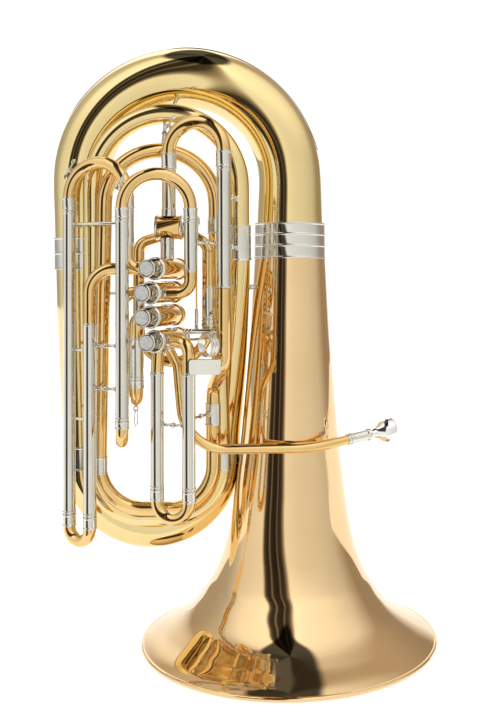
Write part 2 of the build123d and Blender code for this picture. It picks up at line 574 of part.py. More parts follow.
# ----------------------------------------------------------------- water key frames
def key_frame(a, b, zc, ang, r_tube, lift):
    """Pivot point and directions on a crook, angle measured from leg b side."""
    ax, ay = a
    bx, by = b
    r = math.hypot(bx - ax, by - ay) / 2
    mid = V((ax + bx) / 2, (ay + by) / 2, zc)
    h = V((bx - ax) / (2 * r), (by - ay) / (2 * r), 0)
    q = math.radians(ang)
    out = h * math.cos(q) + V(0, 0, math.sin(q))
    along = h * (-math.sin(q)) + V(0, 0, math.cos(q))
    nrm = h.cross(V(0, 0, 1))
    return mid + out * (r + r_tube + lift), out, along, nrm


key_c = key_frame(C_R, C_L, C_top + 26.0, 42.0, 11.2, 5.2)
key_b = key_frame(B_R, B_L, B_top + 18.0, 38.0, 9.9, 5.2)
key_a = key_frame(A_R, A_L, A_top + 20.0, 40.0, 9.9, 5.2)

def make_saddle_piece(kp, ko, ka, kn):
    for s in (-1, 1):
        ring(kp + kn * (s * 5.0 - 1.1), kp + kn * (s * 5.0 + 1.1), 3.2, 1.6)
        rod(kp + kn * (s * 5.0) - ko * 2.6, kp + kn * (s * 5.0) - ko * 8.0, 1.5)
    rod(kp - kn * 6.1, kp + kn * 6.1, 1.5)
    # nipple under the pad
    rod(kp - ka * 13.0 - ko * 2.8, kp - ka * 13.0 - ko * 8.2, 3.0)



# ------------------------------------------------------------ slides (moving)
def make_slide(a, b, top, up, reach_a, reach_b, crook_od, leg_od, zc_off):
    """Crook with two ferrules and two inner legs.

    top is the end face of the outer tubes, up the pull direction (+1 or -1).
    """
    z0 = top + up * face_gap
    zc = top + up * zc_off
    r = math.hypot(b[0] - a[0], b[1] - a[1]) / 2
    tube([(a[0], a[1], z0 + up * 6), (a[0], a[1], zc + up * r), (b[0], b[1], zc + up * r), (b[0], b[1], z0 + up * 6)],
         [r * 0.9995, r * 0.9995], crook_od, crook_od - 1.8)
    for (x, y), reach in ((a, reach_a), (b, reach_b)):
        axial((x, y, z0), (0, 0, up), [(leg_od / 2 - 0.8, 0), (crook_od / 2 + 1.5, 0), (crook_od / 2 + 1.5, 2.2),
                                        (crook_od / 2 + 0.9, 3.2), (crook_od / 2 + 0.9, zc_off - 4.0),
                                        (crook_od / 2 + 1.5, zc_off - 3.0), (crook_od / 2 + 1.5, zc_off - 0.8),
                                        (crook_od / 2 - 0.4, zc_off - 0.8), (crook_od / 2 - 0.4, 6.0),
                                        (leg_od / 2 - 0.8, 6.0)])
        ring((x, y, z0 + up * 0.5), (x, y, top - up * reach), leg_od / 2, leg_od / 2 - 0.8)


with BuildPart() as main_slide:
    make_slide(C_L, C_R, C_top, 1, 60.0, 165.0, 22.4, main_bore - 2 * slide_fit, 26.0)
    make_saddle_piece(*key_c)
main_slide.part.label = "main_slide"
with BuildPart() as slide_1:
    make_slide(D_L, D_R, D_low, -1, 165.0, 165.0, 19.6, s_bore + 0.1 - 2 * slide_fit, 18.5)
slide_1.part.label = "slide_1"
with BuildPart() as slide_2:
    make_slide(E_F, E_B, E_low, -1, 55.0, 55.0, 18.6, 17.0, 13.0)
    rod((-240.5, -120.0, 414.0), (-240.5, -120.0, 411.8), 2.2)
    with BuildSketch(Plane(origin=(-240.5, -122.2, 408.5), z_dir=(0, 1, 0)), mode=Mode.PRIVATE) as sec:
        Circle(4.4)
        Circle(2.6, mode=Mode.SUBTRACT)
    extrude(to_extrude=sec.sketch, amount=4.4)
slide_2.part.label = "slide_2"
with BuildPart() as slide_3:
    make_slide(B_R, B_L, B_top, 1, 70.0, 130.0, 19.8, s_bore + 0.1 - 2 * slide_fit, 18.0)
    make_saddle_piece(*key_b)
slide_3.part.label = "slide_3"
with BuildPart() as slide_3_lower:
    make_slide(B_L, B_T, B_low, -1, 130.0, 130.0, 19.6, s_bore + 0.1 - 2 * slide_fit, 13.0)
slide_3_lower.part.label = "slide_3_lower"
with BuildPart() as slide_4:
    make_slide(A_R, A_L, A_top, 1, 52.0, 200.0, 19.8, s_bore + 0.1 - 2 * slide_fit, 20.0)
    make_saddle_piece(*key_a)
slide_4.part.label = "slide_4"
with BuildPart() as slide_4_lower:
    make_slide(A_L, A_T, A_low, -1, 230.0, 230.0, 19.6, s_bore + 0.1 - 2 * slide_fit, 20.0)
slide_4_lower.part.label = "slide_4_lower"
with BuildPart() as slide_5:
    make_slide(F_L, F_R, F_low, -1, 48.0, 48.0, 18.4, 17.0, 12.0)
slide_5.part.label = "slide_5"

with BuildPart() as pull_ring:
    with BuildSketch(Plane(origin=(-240.5, -120.0, 393.9), x_dir=(0, 1, 0), z_dir=(1, 0, 0)), mode=Mode.PRIVATE) as sec:
        Circle(14.6)
        Circle(12.6, mode=Mode.SUBTRACT)
    extrude(to_extrude=sec.sketch, amount=0.95, both=True)
pull_ring.part.label = "pull_ring"


# ----------------------------------------------------------------- water keys
def make_key(kp, ko, ka, kn):
    ring(kp - kn * 3.2, kp + kn * 3.2, 3.1, 1.62)
    # pad arm towards the crown of the crook, finger arm down the leg side
    rod(kp - ka * 2.4 + ko * 1.4, kp - ka * 13.0 + ko * 0.6, 1.6)
    rod(kp - ka * 13.0 + ko * 1.6, kp - ka * 13.0 - ko * 2.4, 4.2)
    rod(kp + ka * 2.4 + ko * 1.4, kp + ka * 15.0 + ko * 3.6, 1.6)
    rod(kp + ka * 15.0 + ko * 2.6, kp + ka * 15.0 + ko * 4.6, 4.4)


with BuildPart() as water_key_main:
    make_key(*key_c)
water_key_main.part.label = "water_key_main"
with BuildPart() as water_key_3:
    make_key(*key_b)
water_key_3.part.label = "water_key_3"
with BuildPart() as water_key_4:
    make_key(*key_a)
water_key_4.part.label = "water_key_4"


# --------------------------------------------------------------------- braces
def brace(a, ra, b, rb, waist=2.6):
    """Turned brace between two tubes with centres a, b and outer radii ra, rb."""
    a, b = V(*a), V(*b)
    u = (b - a).normalized()
    p, q = a + u * (ra - 0.5), b - u * (rb - 0.5)
    n = (q - p).length
    axial(p, u, [(0, 0), (5.2, 0), (5.2, 1.8), (waist, 4.0), (waist, n / 2 - 3.6), (waist + 1.8, n / 2 - 2.0),
                 (waist + 1.8, n / 2 + 2.0), (waist, n / 2 + 3.6), (waist, n - 4.0), (5.2, n - 1.8), (5.2, n), (0, n)])


def stay(a, ra, b, rb, r=2.0):
    a, b = V(*a), V(*b)
    u = (b - a).normalized()
    rod(a + u * (ra - 0.5), b - u * (rb - 0.5), r)


with BuildPart() as braces:
    # body braces
    brace((0, 0, 600), 63.6, (-85.9, -32.0, 600), 19.0, 3.0)
    stay((-353.9, 0, 480), 39.6, (-323.8, -51.5, 480), 15.8)
    stay((-355.6, 0, 600), 42.0, (-323.3, -54.2, 600), 16.1)
    stay((-323.2, -53.0, 560), 16.0, (-302.3, -81.7, 560), 12.0)
    # inner legs to the slide tubes
    stay((-353.0, -95.0, 500), 10.2, (-315.0, -115.0, 500), 10.2, 2.4)
    stay((-353.0, -95.0, 390), 10.2, (-315.0, -115.0, 390), 10.2, 2.4)
    stay((-303.6, -81.3, 480), 11.8, (-315.0, -115.0, 480), 10.2, 2.4)
    stay((-305.5, -80.6, 380), 11.7, (-315.0, -115.0, 380), 10.2, 2.4)
    brace((-315.0, -115.0, 508), 10.2, (-261.0, -129.0, 508), 10.2)
    brace((-315.0, -115.0, 440), 10.2, (-261.0, -129.0, 440), 10.2)
    brace((-261.0, -129.0, 505), 10.2, (-252.0, -172.0, 505), 10.2)
    stay((-353.0, -95.0, 700), 10.2, (-322.9, -56.0, 700), 16.3)
    stay((-251.0, -136.0, 690), 10.2, (-252.0, -172.0, 690), 10.2)
    stay((-353.0, -95.0, 702), 10.2, (-251.0, -136.0, 702), 10.2, 2.4)
    # third slide to main slide
    brace((-150.0, -153.0, 670), 10.2, (-99.5, -145.0, 670), 11.0)
    brace((-99.5, -145.0, 665), 11.0, (-82.6, -48.0, 665), 19.6, 3.0)
    brace((-99.5, -145.0, 745), 11.0, (-82.5, -58.0, 745), 16.8, 3.0)
    # first slide
    brace((-202.4, -148.6, 388), 10.2, (-151.0, -165.0, 388), 10.2)
    brace((-151.0, -165.0, 398), 10.2, (-123.2, -80.0, 396), 12.7)
    # leadpipe to the bell and to the body
    stay((0, 0, 330), 83.2, (0.8, -109.8, 343.4), 8.0, 3.0)
    brace((-99.5, -145.0, 560), 11.0, (-119.0, -45.3, 560), 13.5)
    # fifth valve loop
    stay((-131.0, -84.0, 590), 9.5, (-119.8, -45.2, 590), 13.3)
    stay((-245.0, -72.0, 590), 9.5, (-301.6, -81.7, 590), 12.1)
    # lower bows
    stay((-218.0, 12.4, 183.6), 31.4, (-218.0, -46.0, 218.5), 15.1, 3.0)
    stay((-218.0, -46.0, 218.5), 15.1, (-218.0, -80.0, 240.6), 11.5, 2.4)
    # upper bows
    stay((-178.0, 0, 957.0), 50.4, (-196.0, -58.0, 885.9), 16.5, 3.0)
    stay((-203.0, -58.0, 886.0), 16.5, (-209.0, -63.2, 824.5), 12.4, 2.4)
braces.part.label = "braces"

# --------------------------------------------------------------------- export
export_step(bell.part, "parts/bell.step")
export_step(bell_rim.part, "parts/bell_rim.step")
export_step(bottom_bow.part, "parts/bottom_bow.step")
export_step(bow_guard.part, "parts/bow_guard.step")
export_step(ferrules.part, "parts/ferrules.step")
export_step(left_branch.part, "parts/left_branch.step")
export_step(top_bow.part, "parts/top_bow.step")
export_step(right_branch.part, "parts/right_branch.step")
export_step(inner_bow_outer.part, "parts/inner_bow_outer.step")
export_step(inner_bow_inner.part, "parts/inner_bow_inner.step")
export_step(lower_bow_outer.part, "parts/lower_bow_outer.step")
export_step(lower_bow_inner.part, "parts/lower_bow_inner.step")
export_step(main_tail.part, "parts/main_tail.step")
export_step(leadpipe.part, "parts/leadpipe.step")
export_step(receiver.part, "parts/receiver.step")
export_step(mouthpiece.part, "parts/mouthpiece.step")
export_step(casing_1.part, "parts/casing_1.step")
export_step(casing_2.part, "parts/casing_2.step")
export_step(casing_3.part, "parts/casing_3.step")
export_step(casing_4.part, "parts/casing_4.step")
export_step(caps.part, "parts/caps.step")
export_step(piston_1.part, "parts/piston_1.step")
export_step(piston_2.part, "parts/piston_2.step")
export_step(piston_3.part, "parts/piston_3.step")
export_step(piston_4.part, "parts/piston_4.step")
export_step(button_1.part, "parts/button_1.step")
export_step(button_2.part, "parts/button_2.step")
export_step(button_3.part, "parts/button_3.step")
export_step(button_4.part, "parts/button_4.step")
export_step(spring_1.part, "parts/spring_1.step")
export_step(spring_2.part, "parts/spring_2.step")
export_step(spring_3.part, "parts/spring_3.step")
export_step(spring_4.part, "parts/spring_4.step")
export_step(rotary_casing.part, "parts/rotary_casing.step")
export_step(rotary_caps.part, "parts/rotary_caps.step")
export_step(rotor.part, "parts/rotor.step")
export_step(linkage_rod.part, "parts/linkage_rod.step")
export_step(lever_mount.part, "parts/lever_mount.step")
export_step(thumb_lever.part, "parts/thumb_lever.step")
export_step(hand_plate.part, "parts/hand_plate.step")
export_step(tubes_1.part, "parts/tubes_1.step")
export_step(tubes_2.part, "parts/tubes_2.step")
export_step(tubes_3.part, "parts/tubes_3.step")
export_step(tubes_4.part, "parts/tubes_4.step")
export_step(tubes_5.part, "parts/tubes_5.step")
export_step(sleeves.part, "parts/sleeves.step")
export_step(main_slide.part, "parts/main_slide.step")
export_step(slide_1.part, "parts/slide_1.step")
export_step(slide_2.part, "parts/slide_2.step")
export_step(slide_3.part, "parts/slide_3.step")
export_step(slide_3_lower.part, "parts/slide_3_lower.step")
export_step(slide_4.part, "parts/slide_4.step")
export_step(slide_4_lower.part, "parts/slide_4_lower.step")
export_step(slide_5.part, "parts/slide_5.step")
export_step(pull_ring.part, "parts/pull_ring.step")
export_step(water_key_main.part, "parts/water_key_main.step")
export_step(water_key_3.part, "parts/water_key_3.step")
export_step(water_key_4.part, "parts/water_key_4.step")
export_step(braces.part, "parts/braces.step")
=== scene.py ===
import json
import math
import bpy
from mathutils import Vector, Matrix

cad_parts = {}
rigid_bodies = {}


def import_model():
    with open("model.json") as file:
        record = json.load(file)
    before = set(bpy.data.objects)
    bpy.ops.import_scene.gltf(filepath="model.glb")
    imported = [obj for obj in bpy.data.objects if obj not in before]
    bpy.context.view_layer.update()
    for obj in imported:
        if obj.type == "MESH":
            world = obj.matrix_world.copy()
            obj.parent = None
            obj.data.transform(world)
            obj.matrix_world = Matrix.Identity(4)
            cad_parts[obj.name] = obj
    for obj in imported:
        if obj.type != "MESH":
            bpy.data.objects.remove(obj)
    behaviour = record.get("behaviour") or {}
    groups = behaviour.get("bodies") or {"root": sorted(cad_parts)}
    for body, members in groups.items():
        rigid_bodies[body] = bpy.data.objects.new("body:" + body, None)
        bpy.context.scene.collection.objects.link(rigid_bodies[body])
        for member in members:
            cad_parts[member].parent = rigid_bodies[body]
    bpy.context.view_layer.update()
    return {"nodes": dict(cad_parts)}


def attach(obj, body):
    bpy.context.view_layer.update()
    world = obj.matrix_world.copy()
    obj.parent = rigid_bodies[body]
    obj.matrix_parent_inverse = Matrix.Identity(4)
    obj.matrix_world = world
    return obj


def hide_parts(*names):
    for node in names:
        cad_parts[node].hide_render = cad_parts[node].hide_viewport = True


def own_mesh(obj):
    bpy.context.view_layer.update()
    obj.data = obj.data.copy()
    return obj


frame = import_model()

K = 0.001                      # lengths below are millimetres


# --------------------------------------------------------------- materials
def noise_node(nt, scale, detail=3.0, stretch=None):
    tc = nt.nodes.new("ShaderNodeTexCoord")
    mp = nt.nodes.new("ShaderNodeMapping")
    if stretch:
        mp.inputs["Scale"].default_value = stretch
    no = nt.nodes.new("ShaderNodeTexNoise")
    no.inputs["Scale"].default_value = scale
    no.inputs["Detail"].default_value = detail
    nt.links.new(tc.outputs["Object"], mp.inputs["Vector"])
    nt.links.new(mp.outputs["Vector"], no.inputs["Vector"])
    return no


def metal(name, col_a, col_b, r_lo, r_hi, coat=0.0, bump=0.012, scale=9.0):
    m = bpy.data.materials.new(name)
    m.use_nodes = True
    nt = m.node_tree
    b = nt.nodes["Principled BSDF"]
    b.inputs["Metallic"].default_value = 1.0
    if coat:
        b.inputs["Coat Weight"].default_value = coat
        b.inputs["Coat Roughness"].default_value = 0.06
    n1 = noise_node(nt, scale)
    ramp = nt.nodes.new("ShaderNodeValToRGB")
    ramp.color_ramp.elements[0].position = 0.35
    ramp.color_ramp.elements[1].position = 0.65
    ramp.color_ramp.elements[0].color = (*col_a, 1)
    ramp.color_ramp.elements[1].color = (*col_b, 1)
    nt.links.new(n1.outputs["Fac"], ramp.inputs["Fac"])
    nt.links.new(ramp.outputs["Color"], b.inputs["Base Color"])
    n2 = noise_node(nt, scale * 3.7, 5.0)
    mr = nt.nodes.new("ShaderNodeMapRange")
    mr.inputs["To Min"].default_value = r_lo
    mr.inputs["To Max"].default_value = r_hi
    nt.links.new(n2.outputs["Fac"], mr.inputs["Value"])
    nt.links.new(mr.outputs["Result"], b.inputs["Roughness"])
    if bump:
        n3 = noise_node(nt, 14.0, 2.0)
        bp = nt.nodes.new("ShaderNodeBump")
        bp.inputs["Strength"].default_value = bump
        bp.inputs["Distance"].default_value = 0.01
        nt.links.new(n3.outputs["Fac"], bp.inputs["Height"])
        nt.links.new(bp.outputs["Normal"], b.inputs["Normal"])
    return m


BELL = metal("gold_brass", (0.83, 0.59, 0.31), (0.87, 0.63, 0.345), 0.045, 0.07, 0.2, 0.0025)
BRASS = metal("yellow_brass", (0.84, 0.66, 0.31), (0.87, 0.695, 0.345), 0.035, 0.065, 0.2, 0.006)
GOLD = metal("orange_brass", (0.80, 0.54, 0.21), (0.85, 0.59, 0.255), 0.035, 0.07, 0.2, 0.005, 22.0)
NICKEL = metal("nickel_silver", (0.72, 0.70, 0.63), (0.77, 0.75, 0.68), 0.06, 0.11, 0.0, 0.005, 22.0)
SILVER = metal("silver_plate", (0.86, 0.85, 0.83), (0.90, 0.89, 0.87), 0.05, 0.10, 0.0, 0.004, 22.0)
STEEL = metal("valve_plate", (0.55, 0.54, 0.52), (0.62, 0.61, 0.58), 0.22, 0.32, 0.0, 0.0, 30.0)

PEARL = bpy.data.materials.new("pearl")
PEARL.use_nodes = True
_nt = PEARL.node_tree
_b = _nt.nodes["Principled BSDF"]
_n = noise_node(_nt, 160.0, 6.0, (1.0, 1.0, 2.2))
_r = _nt.nodes.new("ShaderNodeValToRGB")
_r.color_ramp.elements[0].position = 0.3
_r.color_ramp.elements[1].position = 0.75
_r.color_ramp.elements[0].color = (0.62, 0.62, 0.60, 1)
_r.color_ramp.elements[1].color = (0.92, 0.91, 0.88, 1)
_nt.links.new(_n.outputs["Fac"], _r.inputs["Fac"])
_nt.links.new(_r.outputs["Color"], _b.inputs["Base Color"])
_b.inputs["Roughness"].default_value = 0.25
_b.inputs["Coat Weight"].default_value = 0.6
_b.inputs["Sheen Weight"].default_value = 0.2

CORK = bpy.data.materials.new("cork")
CORK.use_nodes = True
_nt = CORK.node_tree
_b = _nt.nodes["Principled BSDF"]
_n = noise_node(_nt, 900.0, 6.0)
_r = _nt.nodes.new("ShaderNodeValToRGB")
_r.color_ramp.elements[0].color = (0.28, 0.17, 0.09, 1)
_r.color_ramp.elements[1].color = (0.55, 0.38, 0.22, 1)
_nt.links.new(_n.outputs["Fac"], _r.inputs["Fac"])
_nt.links.new(_r.outputs["Color"], _b.inputs["Base Color"])
_b.inputs["Roughness"].default_value = 0.85


# ------------------------------------------------------------ mesh building
def V(*p):
    return Vector(p)


def vec(p):
    return p.copy() if isinstance(p, Vector) else Vector(p)


class Piece:
    now = None

    def __init__(self, name, body, nodes, slot=None, mats=(BRASS,)):
        self.name, self.body, self.nodes, self.slot, self.mats = name, body, nodes, slot, list(mats)
        self.v, self.f, self.m = [], [], []

    def __enter__(self):
        Piece.now = self
        return self

    def __exit__(self, *a):
        me = bpy.data.meshes.new(self.name)
        me.from_pydata([tuple(p * K) for p in self.v], [], self.f)
        for mt in self.mats:
            me.materials.append(mt)
        me.polygons.foreach_set("material_index", self.m)
        me.polygons.foreach_set("use_smooth", [True] * len(self.f))
        me.update()
        me.set_sharp_from_angle(angle=math.radians(38))
        ob = bpy.data.objects.new(self.name, me)
        bpy.context.scene.collection.objects.link(ob)
        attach(ob, self.body)
        if self.nodes:
            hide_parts(*self.nodes)
        Piece.now = None


def grid(rings, mat=0, wrap=False, cap_a=False, cap_b=False):
    """Skin a list of rings of equal length."""
    p = Piece.now
    base = len(p.v)
    n = len(rings[0])
    for r in rings:
        p.v.extend(r)
    k = len(rings)
    for i in range(k if wrap else k - 1):
        a, b = base + i * n, base + ((i + 1) % k) * n
        for j in range(n):
            j2 = (j + 1) % n
            p.f.append((a + j, a + j2, b + j2, b + j))
            p.m.append(mat)
    if cap_a:
        p.f.append(tuple(base + j for j in reversed(range(n))))
        p.m.append(mat)
    if cap_b:
        p.f.append(tuple(base + (k - 1) * n + j for j in range(n)))
        p.m.append(mat)


def frames(points, tangents):
    """Rotation minimising side vectors."""
    t = tangents[0]
    ref = V(0, 1, 0) if abs(t.y) < 0.9 else V(1, 0, 0)
    u = (ref - t * ref.dot(t)).normalized()
    out = [u]
    for i in range(1, len(points)):
        q = tangents[i - 1].rotation_difference(tangents[i])
        u = q @ u
        u = (u - tangents[i] * u.dot(tangents[i])).normalized()
        out.append(u)
    return out


def skin(points, tangents, outer, inner, seg, mat=0):
    """Hollow tube: outer and inner radius at each point, closed at both ends."""
    us = frames(points, tangents)
    rings = []
    cs = [(math.cos(2 * math.pi * j / seg), math.sin(2 * math.pi * j / seg)) for j in range(seg)]

    def ringat(i, r):
        u = us[i]
        w = tangents[i].cross(u)
        return [points[i] + (u * c + w * s) * r for c, s in cs]

    idx = range(len(points))
    rings = [ringat(i, outer[i]) for i in idx]
    if inner is None:
        grid(rings, mat, cap_a=True, cap_b=True)
        return
    rings += [ringat(i, inner[i]) for i in reversed(idx)]
    grid(rings, mat, wrap=True)


def fillet_path(pts, radii, arc_step=math.radians(4.0), run_step=12.0):
    pts = [vec(p) for p in pts]
    if len(pts) == 2:
        t = (pts[1] - pts[0]).normalized()
        return [pts[0], pts[1]], [t, t]
    P, T = [pts[0]], [(pts[1] - pts[0]).normalized()]
    for i in range(1, len(pts) - 1):
        a = (pts[i] - pts[i - 1]).normalized()
        b = (pts[i + 1] - pts[i]).normalized()
        ang = a.angle(b)
        r = radii[i - 1]
        d = r * math.tan(ang / 2)
        s = pts[i] - a * d
        axis = a.cross(b).normalized()
        centre = s + axis.cross(a) * r
        n = max(3, int(math.ceil(ang / arc_step)))
        for k in range(n + 1):
            R = Matrix.Rotation(ang * k / n, 3, axis)
            P.append(centre + R @ (s - centre))
            T.append((R @ a).normalized())
    P.append(pts[-1])
    T.append((pts[-1] - pts[-2]).normalized())
    # drop doubled points
    PP, TT = [P[0]], [T[0]]
    for q, t in zip(P[1:], T[1:]):
        if (q - PP[-1]).length > 0.02:
            PP.append(q)
            TT.append(t)
    return PP, TT


def tube(pts, radii, od, bore, mat=0, seg=56):
    P, T = fillet_path(pts, radii)
    skin(P, T, [od / 2] * len(P), [bore / 2] * len(P) if bore else None, seg, mat)


def rod(a, b, r, mat=0, seg=32, edge=0.35):
    a, b = vec(a), vec(b)
    t = (b - a).normalized()
    n = (b - a).length
    e = min(edge, r * 0.4, n * 0.3)
    P = [a, a + t * e * 0.3, a + t * e, b - t * e, b - t * e * 0.3, b]
    skin(P, [t] * 6, [r - e, r - e * 0.3, r, r, r - e * 0.3, r - e], None, seg, mat)


def corner(profile, size=0.45):
    """Small rounds on the corners of a closed (radius, length) profile."""
    out = []
    n = len(profile)
    for i, (r, z) in enumerate(profile):
        p = Vector((r, z))
        a = Vector(profile[i - 1]) - p
        b = Vector(profile[(i + 1) % n]) - p
        la, lb = a.length, b.length
        if r < 0.01 or la < 1e-6 or lb < 1e-6:
            out.append((r, z))
            continue
        if a.angle(-b) < math.radians(14):
            out.append((r, z))
            continue
        k = min(size, la * 0.35, lb * 0.35)
        p0, p1 = p + a.normalized() * k, p + b.normalized() * k
        for t in (0.0, 0.33, 0.67, 1.0):
            q = p0 * (1 - t) ** 2 + p * 2 * t * (1 - t) + p1 * t * t
            out.append((q.x, q.y))
    return out


def axial(origin, axis, profile, mat=0, seg=72, size=0.45):
    origin, axis = vec(origin), vec(axis).normalized()
    ref = V(0, 1, 0) if abs(axis.y) < 0.9 else V(1, 0, 0)
    u = (ref - axis * ref.dot(axis)).normalized()
    w = axis.cross(u)
    rings = []
    for r, z in corner(profile, size):
        r = max(r, 0.0)
        rings.append([origin + axis * z + (u * math.cos(2 * math.pi * j / seg) + w * math.sin(2 * math.pi * j / seg)) * r
                      for j in range(seg)])
    # turn the skin outwards: the profile runs either way round
    area = sum(profile[i - 1][0] * profile[i][1] - profile[i][0] * profile[i - 1][1] for i in range(len(profile)))
    if area < 0:
        rings.reverse()
    grid(rings, mat, wrap=True)


def ring(a, b, r_out, r_in, mat=0, seg=56):
    a, b = vec(a), vec(b)
    n = (b - a).length
    axial(a, b - a, [(r_in, 0), (r_out, 0), (r_out, n), (r_in, n)], mat, seg, 0.35)


def ball(c, r, mat=0, seg=28):
    c = vec(c)
    pr = [(r * math.sin(math.pi * i / 14), -r * math.cos(math.pi * i / 14)) for i in range(15)]
    rings = [[c + V(q * math.cos(2 * math.pi * j / seg), q * math.sin(2 * math.pi * j / seg), z) for j in range(seg)] for q, z in pr]
    grid(rings, mat)


def catmull(vals, ts, t):
    """Smooth interpolation of scalars or vectors at knots ts."""
    n = len(ts)
    i = 0
    while i < n - 2 and t > ts[i + 1]:
        i += 1
    t0, t1 = ts[i], ts[i + 1]
    s = (t - t0) / (t1 - t0)

    def slope(k):
        if k == 0:
            return (vals[1] - vals[0]) / (ts[1] - ts[0])
        if k == n - 1:
            return (vals[-1] - vals[-2]) / (ts[-1] - ts[-2])
        return (vals[k + 1] - vals[k - 1]) / (ts[k + 1] - ts[k - 1])

    m0, m1 = slope(i) * (t1 - t0), slope(i + 1) * (t1 - t0)
    s2, s3 = s * s, s * s * s
    return vals[i] * (2 * s3 - 3 * s2 + 1) + m0 * (s3 - 2 * s2 + s) + vals[i + 1] * (-2 * s3 + 3 * s2) + m1 * (s3 - s2)


def taper(stations, wall, seg=96, mat=0, per=5):
    P = [vec(s[0]) for s in stations]
    R = [s[2] for s in stations]
    ts = [0.0]
    for i in range(1, len(P)):
        ts.append(ts[-1] + (P[i] - P[i - 1]).length)
    pts, rad = [], []
    for i in range(len(P) - 1):
        for k in range(per):
            t = ts[i] + (ts[i + 1] - ts[i]) * k / per
            pts.append(catmull(P, ts, t))
            rad.append(catmull(R, ts, t))
    pts.append(P[-1])
    rad.append(R[-1])
    tan = []
    for i in range(len(pts)):
        a, b = pts[max(i - 1, 0)], pts[min(i + 1, len(pts) - 1)]
        tan.append((b - a).normalized())
    tan[0] = vec(stations[0][1]).normalized()
    tan[-1] = vec(stations[-1][1]).normalized()
    skin(pts, tan, rad, [r - wall for r in rad], seg, mat)


def arc_stations(c, r, z_c, radii, y0, y1, up=1, n=18):
    out = []
    for i in range(n + 1):
        a = math.pi * i / n
        p = V(c + r * math.cos(a), y0 + (y1 - y0) * (1 - math.cos(a)) / 2, z_c + up * r * math.sin(a))
        t = V(-r * math.sin(a), (y1 - y0) / 2 * math.sin(a), up * r * math.cos(a))
        f = i / n
        q = radii[0] + (radii[1] - radii[0]) * f * 2 if f <= 0.5 else radii[1] + (radii[2] - radii[1]) * (f - 0.5) * 2
        out.append((p, t, q))
    return out


# ------------------------------------------------------------------- bell
bell_wall, bow_wall, tube_wall = 1.2, 1.2, 0.9
profile = [(6.0, 246.5), (14.0, 234.0), (30.0, 205.0), (50.0, 175.0), (70.0, 157.0), (91.0, 142.5),
           (111.0, 130.0), (152.0, 113.5), (193.0, 103.5), (255.0, 94.0), (317.0, 86.0), (399.0, 78.0),
           (461.0, 72.6), (522.0, 68.0), (584.0, 64.5), (640.0, 61.5), (676.0, 59.8)]
with Piece("bell_skin", "horn", ["bell"], "bell_brass", (BELL,)):
    pts = [Vector((r, z)) for z, r in profile]
    ts = [0.0]
    for i in range(1, len(pts)):
        ts.append(ts[-1] + (pts[i] - pts[i - 1]).length)
    line = [catmull(pts, ts, ts[-1] * i / 150.0) for i in range(151)]
    inside = []
    for i, q in enumerate(line):
        d = (line[min(i + 1, 150)] - line[max(i - 1, 0)]).normalized()
        inside.append(Vector((q.x - d.y * bell_wall, q.y + d.x * bell_wall)))
    inside[0].y = line[0].y
    seg = 224
    rings = []
    for q in line + inside[::-1]:
        rings.append([V(q.x * math.cos(2 * math.pi * j / seg), q.x * math.sin(2 * math.pi * j / seg), q.y) for j in range(seg)])
    grid(rings, 0, wrap=True)

with Piece("rim_wire", "horn", ["bell_rim"], "bell_brass", (BELL,)):
    n = 20
    pr = []
    for i in range(n):
        a = 2 * math.pi * i / n
        pr.append((250.0 - 3.6 + 3.55 * math.cos(a), max(3.6 + 3.6 * math.sin(a), 0.0)))
    axial((0, 0, 0), (0, 0, 1), pr, 0, 224, 0.0)

# -------------------------------------------------------------------- bows
big_bow_r, big_bow_cz = 178.0, 779.0
with Piece("big_bow_skin", "horn", ["bottom_bow"], "brass", (BRASS,)):
    st = [(V(0, 0, 677.0), V(0, 0, 1), 57.6), (V(0, 0, 725.0), V(0, 0, 1), 55.8)]
    st += arc_stations(-big_bow_r, big_bow_r, big_bow_cz, (53.8, 50.5, 46.8), 0, 0)
    st += [(V(-356.0, 0, 720.0), V(0, 0, -1), 45.3), (V(-356.0, 0, 657.0), V(0, 0, -1), 43.6)]
    taper(st, bow_wall, 128)

with Piece("left_branch_skin", "horn", ["left_branch"], "brass", (BRASS,)):
    taper([(V(-356, 0, 656), V(0, 0, -1), 43.4), (V(-355.5, 0, 560), V(0.01, 0, -1), 41.4),
           (V(-353, 0, 430), V(0.02, 0, -1), 38.6), (V(-350, 0, 312), V(0, 0, -1), 36.0)], bow_wall, 112, 0, 10)

with Piece("fat_bow_skin", "horn", ["top_bow"], "brass", (BRASS,)):
    st = arc_stations(-232.5, 117.5, 300.5, (27.6, 31.6, 35.6), 28.0, 0, up=-1)
    st = [(V(-115, 28.0, 311), V(0, 0, -1), 27.3)] + st + [(V(-350, 0, 311), V(0, 0, 1), 35.9)]
    taper(st, bow_wall, 112)

branch = [(-115, 28, 312, 27.1), (-112.5, 26, 350, 26.2), (-106.5, 21, 400, 25.0), (-101.2, 13, 445, 23.8),
          (-95, -1, 500, 22.1), (-89.5, -18, 560, 20.2), (-84.6, -37, 620, 18.4), (-82.5, -49, 665, 17.3),
          (-82.5, -54.5, 690, 16.9)]
with Piece("right_branch_skin", "horn", ["right_branch"], "brass", (BRASS,)):
    st = []
    for i, (x, y, z, r) in enumerate(branch):
        t = V(0, 0, 1) if i == 0 else V(0, -0.13, 1)
        st.append((V(x, y, z), t, r))
    taper(st, bow_wall, 96, 0, 8)

